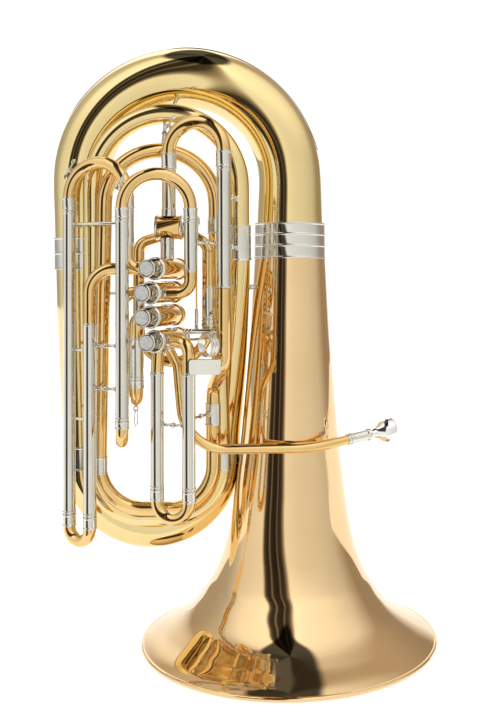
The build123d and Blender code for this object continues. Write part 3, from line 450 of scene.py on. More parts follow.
with Piece("inner_bow_outer_skin", "horn", ["inner_bow_outer"], "brass", (BRASS,)):
    st = [(V(-82.5, -54.7, 691), V(0, -0.11, 1), 16.9), (V(-82.5, -58, 735), V(0, 0, 1), 16.8)]
    st += arc_stations(-202.5, 120.0, 766.0, (16.7, 16.5, 16.4), -58, -58)
    st += [(V(-322.8, -57, 730), V(0, 0.02, -1), 16.3), (V(-323.6, -52.5, 520), V(-0.003, 0.024, -1), 15.9),
           (V(-325, -46, 311), V(0, 0.01, -1), 15.3)]
    taper(st, tube_wall, 80)

with Piece("lower_bow_outer_skin", "horn", ["lower_bow_outer"], "brass", (BRASS,)):
    tube([(-325, -46, 310), (-325, -46, 218.5), (-112, -46, 218.5), (-112, -46, 310)], [80, 80], 30.2, 28.2, 0, 80)
    taper([(V(-112, -46, 311), V(0, 0, 1), 15.1), (V(-114, -46, 400), V(-0.02, 0, 1), 14.6),
           (V(-118, -45.5, 520), V(-0.03, 0, 1), 13.8), (V(-121, -45, 640), V(-0.02, 0, 1), 13.0),
           (V(-122, -45, 700), V(0, 0, 1), 12.7)], tube_wall, 72, 0, 6)

with Piece("inner_bow_inner_skin", "horn", ["inner_bow_inner"], "brass", (GOLD,)):
    st = [(V(-122, -45, 701), V(0, 0, 1), 12.6)]
    st += arc_stations(-210.5, 88.5, 736.0, (12.5, 12.4, 12.3), -45, -82)
    st += [(V(-299.6, -82, 690), V(-0.015, 0, -1), 12.2), (V(-303, -81.5, 520), V(-0.02, 0, -1), 12.0),
           (V(-307, -80, 312), V(-0.01, 0, -1), 11.6)]
    taper(st, tube_wall, 72)

with Piece("lower_bow_inner_skin", "horn", ["lower_bow_inner"], "brass", (GOLD,)):
    tube([(-307, -80, 311), (-307, -80, 240.6), (-123.2, -80, 240.6), (-123.2, -80, 404)], [70, 70], 23.0, 21.2, 0, 72)

with Piece("main_tail_skin", "horn", ["main_tail"], "brass", (GOLD,)):
    tube([(-123.2, -80, 405), (-123.2, -80, 437), (-99.5, -145, 480), (-99.5, -145, 600)], [26, 26], 22.0, 20.2, 0, 72)

# guard strip on the outside of the big bow, its edges thinned down
with Piece("guard_strip", "horn", ["bow_guard"], "nickel", (NICKEL,)):
    a0, a1, n = 14.0, 152.0, 110
    rows_out, rows_in = [], []
    for i in range(n + 1):
        f0 = i / n
        a = math.radians(a0 + (a1 - a0) * f0)
        f = a / math.pi
        q = 53.8 + (50.5 - 53.8) * f * 2 if f <= 0.5 else 50.5 + (46.8 - 50.5) * (f - 0.5) * 2
        c = V(-big_bow_r + big_bow_r * math.cos(a), 0, big_bow_cz + big_bow_r * math.sin(a))
        rad = V(math.cos(a), 0, math.sin(a))
        # narrow, pointed ends
        w = 20.0 * min(1.0, 0.25 + math.sin(math.pi * f0) * 3.2)
        half = math.asin(w / (q + 1.4))
        o, k = [], 20
        for j in range(k + 1):
            s = -half + 2 * half * j / k
            lift = 1.35 if 0 < j < k else 0.25
            if j in (1, k - 1):
                lift = 1.1
            o.append(c + (rad * math.cos(s) + V(0, 1, 0) * math.sin(s)) * (q + lift))
        rows_out.append(o)
    p = Piece.now
    base = len(p.v)
    for r in rows_out:
        p.v.extend(r)
    k1 = len(rows_out[0])
    for i in range(n):
        for j in range(k1 - 1):
            a = base + i * k1 + j
            p.f.append((a, a + 1, a + k1 + 1, a + k1))
            p.m.append(0)

# ----------------------------------------------------------------- ferrules
with Piece("ferrule_rings", "horn", ["ferrules"], "nickel", (NICKEL,)):
    axial((0, 0, 648), (0, 0, 1), [(60.9, 0), (62.2, 0), (62.2, 2.5), (61.2, 3.5), (61.0, 19.5), (61.9, 20.5),
                                    (61.9, 22.5), (61.0, 23.5), (60.8, 38.5), (61.7, 39.5), (61.7, 41.5),
                                    (60.8, 42.5), (60.6, 56.5), (61.9, 57.5), (61.9, 59.5), (56.9, 59.5),
                                    (58.0, 29.5)], 0, 144, 0.5)
    axial((-356, 0, 629), (0, 0, 1), [(42.9, 0), (46.2, 0), (46.2, 2.2), (45.2, 3.2), (45.4, 25.5), (46.4, 26.5),
                                       (46.4, 28.5), (45.4, 29.5), (45.7, 51), (46.7, 52), (46.7, 54.2), (44.2, 54.2),
                                       (43.5, 28.0)], 0, 120, 0.5)
    axial((-350, 0, 292), (0, 0, 1), [(35.4, 0), (38.0, 0), (38.0, 2), (37.2, 3), (37.2, 36), (38.0, 37), (38.0, 39),
                                       (36.3, 39), (35.9, 19.5)], 0, 112, 0.5)
    axial((-115, 28, 294), (0, 0, 1), [(27.4, 0), (28.6, 0), (28.6, 34), (26.6, 34), (27.2, 17.0)], 0, 96, 0.5)
    f_axis = V(0, -0.1, 1).normalized()
    axial(V(-82.5, -52.2, 691) - f_axis * 46, f_axis, [(18.0, 0), (20.4, 0), (20.4, 2), (19.6, 3), (19.2, 55), (20.0, 56),
                                                       (20.0, 58), (16.7, 58), (16.8, 46), (17.2, 20)], 0, 80, 0.5)
    for x, y, z0, z1, r in ((-325, -46, 296, 326, 15.2), (-112, -46, 296, 326, 15.1), (-122, -45, 688, 714, 12.6),
                            (-307, -80, 297, 325, 11.6), (-123.2, -80, 376, 412, 11.5)):
        axial((x, y, z0), (0, 0, 1), [(r - 0.2, 0), (r + 1.9, 0), (r + 1.9, 2), (r + 1.2, 2.8), (r + 1.2, z1 - z0 - 2.8),
                                       (r + 1.9, z1 - z0 - 2), (r + 1.9, z1 - z0), (r - 0.2, z1 - z0)], 0, 72, 0.5)

# -------------------------------------------------- leadpipe, receiver, mouthpiece
lp_end = V(133.6, -55.0, 357.0)
lp_dir = (lp_end - V(40, -107, 343.5)).normalized()
with Piece("leadpipe_skin", "horn", ["leadpipe"], "brass", (GOLD, NICKEL)):
    tube([(-186.4, -128, 501.8), (-174, -128, 478), (-163, -122, 343.5), (40, -107, 343.5), lp_end - lp_dir * 22],
         [24, 72, 140], 16.0, 14.2, 0, 56)
    # direction of the pipe where it leaves the first valve
    d0 = (V(-174, -128, 478) - V(-186.4, -128, 501.8)).normalized()
with Piece("receiver_skin", "horn", ["receiver"], "nickel", (NICKEL,)):
    axial(lp_end - lp_dir * 44, lp_dir, [(7.9, 0), (9.0, 0), (9.0, 4), (9.9, 5), (9.9, 8), (9.2, 9), (9.2, 36), (10.6, 38),
                                          (10.6, 44), (7.0, 44), (6.6, 22.5), (7.9, 21.5)], 0, 72, 0.6)
with Piece("mouthpiece_skin", "mouthpiece_body", ["mouthpiece"], "silver", (SILVER,)):
    pr = [(4.6, 0), (6.4, 0), (6.86, 17.5), (6.9, 22), (7.6, 24), (8.6, 28), (11.5, 33),
          (17.5, 40), (20.6, 47), (21.3, 55), (21.3, 58.5), (20.4, 60.2), (18.6, 60.8),
          (16.9, 59.8), (16.2, 57), (15.4, 48), (12.0, 38.5), (6.0, 31.5), (4.0, 28),
          (4.0, 14), (4.4, 6)]
    axial(lp_end - lp_dir * 18, lp_dir, pr, 0, 96, 1.6)

# ------------------------------------------------------------------- valves
sy, cy = math.sin(math.radians(15)), math.cos(math.radians(15))
into = V(sy, cy, 0)
valve_x = {1: -212.0, 2: -219.0, 3: -219.0, 4: -212.0}
valve_z = {1: 517.5, 2: 555.0, 3: 592.5, 4: 630.0}


def vpt(n, length, dz=0.0):
    return V(valve_x[n], -190.0, valve_z[n] + dz) + into * length


ports = {
    1: [(44.0, 0, 0, -1, 20.5, 10.0), (46.0, 1, -0.2, 0, 20.5, 10.6), (64.0, 21, 0, -33, 20.0, 8.9), (94.0, 0, 0, 1, 17.6, 9.6)],
    2: [(52.0, -1, 0, 0, 20.0, 10.4), (93.0, -1, 0, 0, 20.5, 10.4), (94.0, 0, 0, 1, 17.6, 9.6)],
    3: [(46.0, 1, -0.13, 0, 21.0, 10.4), (62.0, -1, 0, 0, 21.0, 10.6), (94.0, 0, 0, 1, 17.6, 9.6)],
    4: [(56.0, -1, 0, 0, 21.0, 10.6), (80.0, -1, 0, 0, 21.0, 10.6), (77.6, 0, 0, 1, 20.0, 10.8)],
}
for n in (1, 2, 3, 4):
    with Piece("casing_skin_%d" % n, "horn", ["casing_%d" % n], "brass", (GOLD, NICKEL)):
        # one long plain sleeve for the casing
        axial(vpt(n, 30.0), into, [(14.75, 0), (16.5, 0), (16.5, 54), (16.5, 94), (14.75, 94)], 0, 96, 0.3)
        for length, dx, dy, dz, reach, radius in ports[n]:
            d = V(dx, dy, dz).normalized()
            p0 = vpt(n, length)
            ring(p0 + d * 14.9, p0 + d * reach, radius, radius - 1.7, 1, 56)

with Piece("valve_caps", "horn", ["caps"], "nickel", (NICKEL, GOLD)):
    for n in (1, 2, 3, 4):
        axial(vpt(n, 27.0), into, [(4.9, 0), (15.5, 0), (17.4, 1.6), (18.2, 3.2), (18.2, 4.6), (17.6, 5.6), (17.6, 6.6),
                                   (16.55, 6.6), (16.55, 3.0), (4.9, 3.0)], 0, 96, 0.5)
        # fine knurling as a ring of small ridges
        c0 = vpt(n, 31.0)
        u = V(0, 0, 1)
        w = into.cross(u)
        for j in range(60):
            a = 2 * math.pi * j / 60
            d = u * math.cos(a) + w * math.sin(a)
            rod(c0 + d * 17.75 - into * 0.9, c0 + d * 17.75 + into * 0.9, 0.42, 0, 8, 0.1)
        axial(vpt(n, 118.0), into, [(16.55, 0), (17.7, 0), (17.7, 5), (18.1, 6), (18.1, 9), (17.4, 12.5), (15.0, 15.6),
                                    (9.0, 17.6), (4.5, 18.4), (4.5, 21), (1.6, 21), (1.6, 14.0), (15.4, 14.0),
                                    (16.55, 11.5)], 1, 96, 1.0)

for n in (1, 2, 3, 4):
    with Piece("piston_skin_%d" % n, "valve_%d" % n, ["piston_%d" % n], "valve_metal", (STEEL, NICKEL)):
        axial(vpt(n, 46.0), into, [(0, 0), (14.7, 0), (14.7, 55), (11.3, 55), (11.3, 2), (0, 2)], 0, 80, 0.5)
        rod(vpt(n, 7.0), vpt(n, 46.5), 3.6, 1)
        ring(vpt(n, 43.5), vpt(n, 46.0), 9.0, 3.0, 1)
    with Piece("button_skin_%d" % n, "valve_%d" % n, ["button_%d" % n], "nickel", (NICKEL, PEARL)):
        axial(vpt(n, 0.0), into, [(10.4, 0.7), (10.9, 0.0), (12.6, 0.0), (13.9, 1.2), (13.9, 3.0), (12.4, 4.4),
                                  (6.0, 6.4), (4.6, 9.5), (3.65, 9.5), (3.65, 7.0), (10.4, 3.0)], 0, 88, 0.6)
        # slightly domed pearl disc
        c0 = vpt(n, 0.0)
        u = V(0, 0, 1)
        w = into.cross(u)
        rings = []
        for i in range(13):
            r = 10.45 * (1 - i / 12.0)
            h = 0.75 - 0.6 * (1 - (r / 10.45) ** 2)
            rings.append([c0 + into * h + (u * math.cos(2 * math.pi * j / 64) + w * math.sin(2 * math.pi * j / 64)) * r for j in range(64)])
        grid(rings, 1)

# ------------------------------------------------------------------- rotary
rot = V(-189.4, -110.0, 696.0)
with Piece("rotary_skin", "horn", ["rotary_casing"], "brass", (GOLD, NICKEL)):
    axial(rot - V(17.5, 0, 0), (1, 0, 0), [(17.65, 0), (19.2, 0), (19.2, 35), (17.65, 35)], 0, 96, 0.3)
    ring(rot + V(0, -5, 17), rot + V(0, -5, 27.5), 11.6, 9.6, 1)
    ring(rot + V(-2.4, -5, -26), rot + V(-2.4, -5, -17), 11.2, 9.2, 1)
    ring(rot + V(-8.6, 16, -7.5), rot + V(-8.6, 24, -7.5), 9.9, 8.2, 1)
    ring(rot + V(8.4, 16, 7.0), rot + V(8.4, 24, 7.0), 9.9, 8.2, 1)
with Piece("rotary_cap_skin", "horn", ["rotary_caps"], "nickel", (NICKEL, GOLD)):
    axial(rot - V(21.8, 0, 0), (1, 0, 0), [(0, 0), (6, -1.4), (15, -1.0), (19.6, 0.4), (20.5, 1.4), (20.5, 4.1), (17.0, 4.1),
                                            (17.0, 3.0), (0, 3.0)], 0, 96, 0.6)
    axial(rot + V(17.7, 0, 0), (1, 0, 0), [(17.0, 0), (20.5, 0), (20.5, 2.8), (19.6, 4.0), (8.0, 4.6), (8.0, 6.8),
                                            (3.25, 6.8), (3.25, 1.0), (17.0, 1.0)], 0, 96, 0.6)

# ------------------------------------------------- slide tubes fixed to the horn
main_od, main_bore = 22.0, 20.1
s_od, s_bore = 19.8, 18.0
C_L, C_R = (-189.4, -115.0), (-99.5, -145.0)
B_R, B_L, B_T = (-150.0, -153.0), (-252.0, -172.0), (-261.0, -129.0)
A_R, A_L, A_T = (-251.0, -136.0), (-353.0, -95.0), (-315.0, -115.0)
D_L, D_R = (-202.4, -148.6), (-151.0, -165.0)
E_F, E_B = (-234.5, -140.0), (-246.5, -100.0)
F_L, F_R = (-245.0, -72.0), (-131.0, -84.0)
C_top, B_top, A_top = 788.0, 706.0, 724.0
B_low, A_low, D_low, E_low, F_low = 397.0, 236.0, 288.0, 456.0, 548.0

with Piece("tubes_1_skin", "horn", ["tubes_1"], "brass", (GOLD,)):
    tube([(vpt(1, 44.0).x - 0.4, D_L[1], 499.5), (D_L[0], D_L[1], 468.0)], None, s_od, s_bore)
    p = vpt(1, 46.0)
    tube([p + V(19.0, -3.8, 0), (D_R[0], D_R[1], 515.5), (D_R[0], D_R[1], 468.0)], [18.0], s_od, s_bore)
with Piece("tubes_2_skin", "horn", ["tubes_2"], "brass", (GOLD,)):
    p = vpt(2, 52.0)
    tube([p + V(-16.4, 0, 0), (E_F[0], E_F[1], 555.0), (E_F[0], E_F[1], 520.0)], [12.0], 18.4, 16.6)
    p = vpt(2, 93.0)
    tube([p + V(-19.5, 0, 0), (E_B[0], E_B[1], 555.0), (E_B[0], E_B[1], 520.0)], [16.0], 18.4, 16.6)
with Piece("tubes_3_skin", "horn", ["tubes_3"], "brass", (GOLD,)):
    p = vpt(3, 46.0)
    tube([p + V(19.0, -2.47, 0), (B_R[0], B_R[1], 592.5), (B_R[0], B_R[1], 626.0)], [20.0], s_od, s_bore)
    p = vpt(3, 62.0)
    tube([p + V(-19.5, 0, 0), (B_T[0], B_T[1], 592.5), (B_T[0], B_T[1], 545.0)], [20.0], s_od, s_bore)
with Piece("tubes_4_skin", "horn", ["tubes_4"], "brass", (GOLD,)):
    p = vpt(4, 56.0)
    tube([p + V(-19.5, 0, 0), (A_R[0], A_R[1], 630.0), (A_R[0], A_R[1], 668.0)], [20.0], s_od, s_bore)
    p = vpt(4, 80.0)
    tube([p + V(-19.5, 0, 0), (A_T[0], A_T[1], 630.0), (A_T[0], A_T[1], 542.0)], [38.0], s_od, s_bore)
with Piece("tubes_5_skin", "horn", ["tubes_5"], "brass", (GOLD,)):
    tube([rot + V(-8.6, 21.5, -7.5), (-198.0, -66.0, 687.5), (F_L[0], F_L[1], 672.0), (F_L[0], F_L[1], 600.0)],
         [17.0, 19.0], 18.4, 16.4)
    tube([rot + V(8.4, 21.5, 7.0), (-181.0, -66.0, 702.0), (F_R[0], F_R[1], 668.0), (F_R[0], F_R[1], 600.0)],
         [17.0, 24.0], 18.4, 16.4)


def sleeve(xy, z0, z1, od, bore):
    x, y = xy
    r = od / 2
    axial((x, y, z0), (0, 0, 1), [(bore / 2, 0), (r, 0), (r, 2.2), (r + 0.9, 2.6), (r + 0.9, 4.8), (r, 5.2),
                                  (r, z1 - z0 - 5.2), (r + 0.9, z1 - z0 - 4.8), (r + 0.9, z1 - z0 - 2.6),
                                  (r, z1 - z0 - 2.2), (r, z1 - z0), (bore / 2, z1 - z0)], 0, 72, 0.35)


with Piece("sleeve_skin", "horn", ["sleeves"], "nickel", (NICKEL,)):
    for xy, z0, z1, od, bore in (
            (C_L, 720.0, C_top, main_od, main_bore), (C_R, 598.0, C_top, main_od, main_bore),
            (B_R, 624.0, B_top, 20.4, 18.1), (B_L, B_low, B_top, 20.4, 18.1), (B_T, B_low, 547.0, 20.4, 18.1),
            (A_R, 666.0, A_top, 20.4, 18.1), (A_L, A_low, A_top, 20.4, 18.1), (A_T, A_low, 544.0, 20.4, 18.1),
            (D_L, D_low, 470.0, 20.4, 18.1), (D_R, D_low, 470.0, 20.4, 18.1),
            (E_F, E_low, 522.0, 19.0, 17.1), (E_B, E_low, 522.0, 19.0, 17.1),
            (F_L, F_low, 602.0, 19.0, 17.1), (F_R, F_low, 602.0, 19.0, 17.1)):
        sleeve(xy, z0, z1, od, bore)
    ring((-191.8, -115.0, 645.5), (-191.8, -115.0, 674.0), 10.9, 9.3)


# ------------------------------------------------------------ moving slides
def key_frame(a, b, zc, ang, r_tube, lift):
    ax, ay = a
    bx, by = b
    r = math.hypot(bx - ax, by - ay) / 2
    mid = V((ax + bx) / 2, (ay + by) / 2, zc)
    h = V((bx - ax) / (2 * r), (by - ay) / (2 * r), 0)
    q = math.radians(ang)
    out = h * math.cos(q) + V(0, 0, math.sin(q))
    along = h * (-math.sin(q)) + V(0, 0, math.cos(q))
    nrm = h.cross(V(0, 0, 1))
    return mid + out * (r + r_tube + lift), out, along, nrm


key_c = key_frame(C_R, C_L, C_top + 26.0, 42.0, 11.2, 5.2)
key_b = key_frame(B_R, B_L, B_top + 18.0, 38.0, 9.9, 5.2)
key_a = key_frame(A_R, A_L, A_top + 20.0, 40.0, 9.9, 5.2)


def make_saddle_piece(kp, ko, ka, kn):
    for s in (-1, 1):
        ring(kp + kn * (s * 5.0 - 1.1), kp + kn * (s * 5.0 + 1.1), 3.2, 1.6, 1, 28)
        rod(kp + kn * (s * 5.0) - ko * 2.6, kp + kn * (s * 5.0) - ko * 8.0, 1.5, 1, 20)
    rod(kp - kn * 6.1, kp + kn * 6.1, 1.5, 1, 20)
    rod(kp - ka * 13.0 - ko * 2.8, kp - ka * 13.0 - ko * 8.2, 3.0, 1, 28)


def make_slide(a, b, top, up, reach_a, reach_b, crook_od, leg_od, zc_off, mat=0):
    z0 = top + up * 0.3
    zc = top + up * zc_off
    r = math.hypot(b[0] - a[0], b[1] - a[1]) / 2
    tube([(a[0], a[1], z0 + up * 6), (a[0], a[1], zc + up * r), (b[0], b[1], zc + up * r), (b[0], b[1], z0 + up * 6)],
         [r * 0.9995, r * 0.9995], crook_od, crook_od - 1.8, mat, 64)
    for (x, y), reach in ((a, reach_a), (b, reach_b)):
        axial((x, y, z0), (0, 0, up), [(leg_od / 2 - 0.8, 0), (crook_od / 2 + 1.5, 0), (crook_od / 2 + 1.5, 2.2),
                                        (crook_od / 2 + 0.9, 3.2), (crook_od / 2 + 0.9, zc_off - 4.0),
                                        (crook_od / 2 + 1.5, zc_off - 3.0), (crook_od / 2 + 1.5, zc_off - 0.8),
                                        (crook_od / 2 - 0.4, zc_off - 0.8), (crook_od / 2 - 0.4, 6.0),
                                        (leg_od / 2 - 0.8, 6.0)], 1, 72, 0.4)
        ring((x, y, z0 + up * 0.5), (x, y, top - up * reach), leg_od / 2, leg_od / 2 - 0.8, 1, 64)


m_leg, s_leg = main_bore - 0.1, s_bore
with Piece("main_slide_skin", "main_slide_body", ["main_slide"], "brass", (GOLD, NICKEL)):
    make_slide(C_L, C_R, C_top, 1, 60.0, 165.0, 22.4, m_leg, 26.0)
    make_saddle_piece(*key_c)
with Piece("slide_1_skin", "slide_1_body", ["slide_1"], "brass", (GOLD, NICKEL)):
    make_slide(D_L, D_R, D_low, -1, 165.0, 165.0, 19.6, s_leg, 18.5)
with Piece("slide_2_skin", "slide_2_body", ["slide_2"], "brass", (GOLD, NICKEL)):
    make_slide(E_F, E_B, E_low, -1, 55.0, 55.0, 18.6, 17.0, 13.0)
    rod((-240.5, -120.0, 414.0), (-240.5, -120.0, 411.8), 2.2, 1)
    ring((-240.5, -122.2, 408.5), (-240.5, -117.8, 408.5), 4.4, 2.6, 1, 40)
with Piece("slide_3_skin", "slide_3_body", ["slide_3"], "brass", (GOLD, NICKEL)):
    make_slide(B_R, B_L, B_top, 1, 70.0, 130.0, 19.8, s_leg, 18.0)
    make_saddle_piece(*key_b)
with Piece("slide_3_lower_skin", "slide_3_lower_body", ["slide_3_lower"], "brass", (GOLD, NICKEL)):
    make_slide(B_L, B_T, B_low, -1, 130.0, 130.0, 19.6, s_leg, 13.0)
with Piece("slide_4_skin", "slide_4_body", ["slide_4"], "brass", (GOLD, NICKEL)):
    make_slide(A_R, A_L, A_top, 1, 52.0, 200.0, 19.8, s_leg, 20.0)
    make_saddle_piece(*key_a)
with Piece("slide_4_lower_skin", "slide_4_lower_body", ["slide_4_lower"], "brass", (GOLD, NICKEL)):
    make_slide(A_L, A_T, A_low, -1, 230.0, 230.0, 19.6, s_leg, 20.0)
with Piece("slide_5_skin", "slide_5_body", ["slide_5"], "brass", (GOLD, NICKEL)):
    make_slide(F_L, F_R, F_low, -1, 48.0, 48.0, 18.4, 17.0, 12.0)

with Piece("pull_ring_skin", "pull_ring_body", ["pull_ring"], "nickel", (NICKEL,)):
    pr = [(13.6 + 1.0 * math.cos(2 * math.pi * i / 12), 0.95 * math.sin(2 * math.pi * i / 12)) for i in range(12)]
    axial((-240.5, -120.0, 393.9), (1, 0, 0), pr, 0, 72, 0.0)


# --------------------------------------------------------------- water keys
def make_key(kp, ko, ka, kn):
    ring(kp - kn * 3.2, kp + kn * 3.2, 3.1, 1.62, 0, 32)
    rod(kp - ka * 2.4 + ko * 1.4, kp - ka * 13.0 + ko * 0.6, 1.6, 0, 20)
    rod(kp - ka * 13.0 + ko * 1.6, kp - ka * 13.0 - ko * 0.6, 4.2, 0, 36)
    rod(kp - ka * 13.0 - ko * 0.5, kp - ka * 13.0 - ko * 2.4, 3.8, 1, 36)
    rod(kp + ka * 2.4 + ko * 1.4, kp + ka * 15.0 + ko * 3.6, 1.6, 0, 20)
    rod(kp + ka * 15.0 + ko * 2.6, kp + ka * 15.0 + ko * 4.6, 4.4, 0, 36, 0.9)


for nm, spec in (("main", key_c), ("3", key_b), ("4", key_a)):
    with Piece("water_key_skin_" + nm, "key_%s_body" % nm, ["water_key_" + nm], "nickel", (NICKEL, CORK)):
        make_key(*spec)


# ------------------------------------------------------------------- braces
def brace(a, ra, b, rb, waist=2.6):
    a, b = vec(a), vec(b)
    u = (b - a).normalized()
    p, q = a + u * (ra - 0.5), b - u * (rb - 0.5)
    n = (q - p).length
    h = n / 2
    pr = [(0, 0), (5.2, 0), (5.2, 1.2), (4.4, 1.8), (waist + 0.5, 2.6), (waist, 4.4), (waist - 0.3, h * 0.6), (waist, h - 3.8),
          (waist + 1.2, h - 3.0), (waist + 0.8, h - 2.2), (waist + 1.8, h - 1.2), (waist + 1.8, h + 1.2),
          (waist + 0.8, h + 2.2), (waist + 1.2, h + 3.0), (waist, h + 3.8), (waist - 0.3, n - h * 0.6), (waist, n - 4.4),
          (waist + 0.5, n - 2.6), (4.4, n - 1.8), (5.2, n - 1.2), (5.2, n), (0, n)]
    axial(p, u, pr, 0, 48, 0.3)


def stay(a, ra, b, rb, r=2.0):
    a, b = vec(a), vec(b)
    u = (b - a).normalized()
    rod(a + u * (ra - 0.5), b - u * (rb - 0.5), r, 0, 28)


with Piece("brace_set", "horn", ["braces"], "nickel", (NICKEL,)):
    brace((0, 0, 600), 63.6, (-85.9, -32.0, 600), 19.0, 3.0)
    stay((-353.9, 0, 480), 39.6, (-323.8, -51.5, 480), 15.8)
    stay((-355.6, 0, 600), 42.0, (-323.3, -54.2, 600), 16.1)
    stay((-323.2, -53.0, 560), 16.0, (-302.3, -81.7, 560), 12.0)
    stay((-353.0, -95.0, 500), 10.2, (-315.0, -115.0, 500), 10.2, 2.4)
    stay((-353.0, -95.0, 390), 10.2, (-315.0, -115.0, 390), 10.2, 2.4)
    stay((-303.6, -81.3, 480), 11.8, (-315.0, -115.0, 480), 10.2, 2.4)
    stay((-305.5, -80.6, 380), 11.7, (-315.0, -115.0, 380), 10.2, 2.4)
    brace((-315.0, -115.0, 508), 10.2, (-261.0, -129.0, 508), 10.2)
    brace((-315.0, -115.0, 440), 10.2, (-261.0, -129.0, 440), 10.2)
    brace((-261.0, -129.0, 505), 10.2, (-252.0, -172.0, 505), 10.2)
    stay((-353.0, -95.0, 700), 10.2, (-322.9, -56.0, 700), 16.3)
    stay((-251.0, -136.0, 690), 10.2, (-252.0, -172.0, 690), 10.2)
    stay((-353.0, -95.0, 702), 10.2, (-251.0, -136.0, 702), 10.2, 2.4)
    brace((-150.0, -153.0, 670), 10.2, (-99.5, -145.0, 670), 11.0)
    brace((-99.5, -145.0, 665), 11.0, (-82.6, -48.0, 665), 19.6, 3.0)
    brace((-99.5, -145.0, 745), 11.0, (-82.5, -58.0, 745), 16.8, 3.0)
    brace((-202.4, -148.6, 388), 10.2, (-151.0, -165.0, 388), 10.2)
    brace((-151.0, -165.0, 398), 10.2, (-123.2, -80.0, 396), 12.7)
    stay((0, 0, 330), 83.2, (0.8, -109.8, 343.4), 8.0, 3.0)
    brace((-99.5, -145.0, 560), 11.0, (-119.0, -45.3, 560), 13.5)
    stay((-131.0, -84.0, 590), 9.5, (-119.8, -45.2, 590), 13.3)
    stay((-245.0, -72.0, 590), 9.5, (-301.6, -81.7, 590), 12.1)
    stay((-218.0, 12.4, 183.6), 31.4, (-218.0, -46.0, 218.5), 15.1, 3.0)
    stay((-218.0, -46.0, 218.5), 15.1, (-218.0, -80.0, 240.6), 11.5, 2.4)
    stay((-178.0, 0, 957.0), 50.4, (-196.0, -58.0, 885.9), 16.5, 3.0)
    stay((-203.0, -58.0, 886.0), 16.5, (-209.0, -63.2, 824.5), 12.4, 2.4)

# ------------------------------------------------------------------ linkage
arm_dir = V(0, -0.35, 0.94).normalized()
arm_x = rot.x + 28.6
ballc = V(arm_x, rot.y, rot.z) + arm_dir * 10.5
rod_x, rod_y = ballc.x + 15.2, -113.6
hinge = V(-134.0, -142.0, 532.0)
with Piece("linkage_skin", "rod_body", ["linkage_rod"], "nickel", (NICKEL, GOLD)):
    axial(V(rod_x, rod_y, ballc.z - 7.5), (0, 0, 1), [(0, 0), (3.4, 0), (5.2, 3.0), (5.2, 12.0), (3.4, 15.0), (0, 15.0)], 0, 48, 0.6)
    rod(V(rod_x, rod_y, ballc.z - 7.0), V(rod_x, rod_y, ballc.z - 26), 2.8, 0)
    rod(V(rod_x, rod_y, ballc.z - 25), V(rod_x, rod_y, hinge.z + 33), 1.4, 1)
    rod(V(rod_x, rod_y, hinge.z + 34), V(rod_x, rod_y, hinge.z - 4), 2.8, 0)
with Piece("lever_mount_skin", "horn", ["lever_mount"], "nickel", (NICKEL,)):
    for dx in (-24.6, 20.6):
        ring(hinge + V(dx, 0, 0), hinge + V(dx + 4.0, 0, 0), 4.8, 1.5, 0, 48)
    rod(hinge + V(-27.0, 0, 0), hinge + V(27.0, 0, 0), 2.05)
    rod(hinge + V(-28.0, 0, 0), hinge + V(-26.0, 0, 0), 3.6)
    for dx in (-22.6, 22.6):
        rod(hinge + V(dx, -1.0, -3.0), hinge + V(dx, -6.0, -12.0), 2.2)
    rod(hinge + V(-24.6, -6.0, -12.0), hinge + V(27.5, -6.0, -12.0), 2.4)
    rod(hinge + V(24.5, 0, 0), hinge + V(27.5, 0, 0), 3.4)
thumb_c = V(-119.5, -177.0, 513.0)
thumb_n = V(0.7, 0.7, 0).normalized()
with Piece("thumb_skin", "lever_body", ["thumb_lever"], "nickel", (NICKEL,)):
    axial(hinge - V(19.8, 0, 0), (1, 0, 0), [(2.15, 0), (4.6, 0), (4.6, 4), (4.0, 5), (4.0, 34.6), (4.6, 35.6), (4.6, 39.6), (2.15, 39.6)], 0, 48, 0.4)
    rod(hinge + V(rod_x - hinge.x + 8.4, 2.6, 1.0), V(rod_x + 8.4, rod_y, hinge.z + 1.0), 2.2)
    rod(V(rod_x + 9.6, rod_y, hinge.z + 1.0), V(rod_x + 3.4, rod_y, hinge.z + 1.0), 1.8)
    rod(hinge + V(14.5, -3.0, -1.0), thumb_c + V(2.6, 2.6, 17.2), 2.4)
    axial(thumb_c - thumb_n * 7.0, thumb_n, [(16.2, 0), (17.8, 0), (18.4, 0.8), (18.4, 2.4), (17.6, 3.2), (17.6, 5.2), (18.3, 6.0),
                                             (18.3, 8.0), (17.6, 8.8), (17.6, 10.8), (18.4, 11.6), (18.4, 13.2), (17.8, 14.0), (16.2, 14.0)], 0, 88, 0.35)

# shaped hand plate with softened edges
with Piece("hand_plate_skin", "horn", ["hand_plate"], "nickel", (NICKEL,)):
    outline = []
    for cx, cz, s in ((20.5, 7.0, 0), (-20.5, 7.0, 1), (-20.5, -7.0, 2), (20.5, -7.0, 3)):
        for k in range(9):
            a = math.pi / 2 * (s + k / 8.0)
            outline.append((cx + 5.0 * math.cos(a), cz + 5.0 * math.sin(a)))
    rings = []
    for shrink, yy in ((3.0, 0.02), (0.5, 0.02), (0.12, 0.15), (0.0, 0.5), (0.0, 1.3), (0.12, 1.65), (0.5, 1.78), (3.0, 1.78)):
        ring_pts = []
        for x, z in outline:
            d = Vector((x, z))
            q = d - d.normalized() * shrink
            ring_pts.append(V(-125.5 + q.x, -178.0 - yy, 480.0 + q.y))
        rings.append(ring_pts)
    rings.reverse()
    grid(rings, 0, cap_a=True, cap_b=True)
    rod((-107.0, -179.0, 480.0), (-101.5, -153.0, 490.0), 3.0)
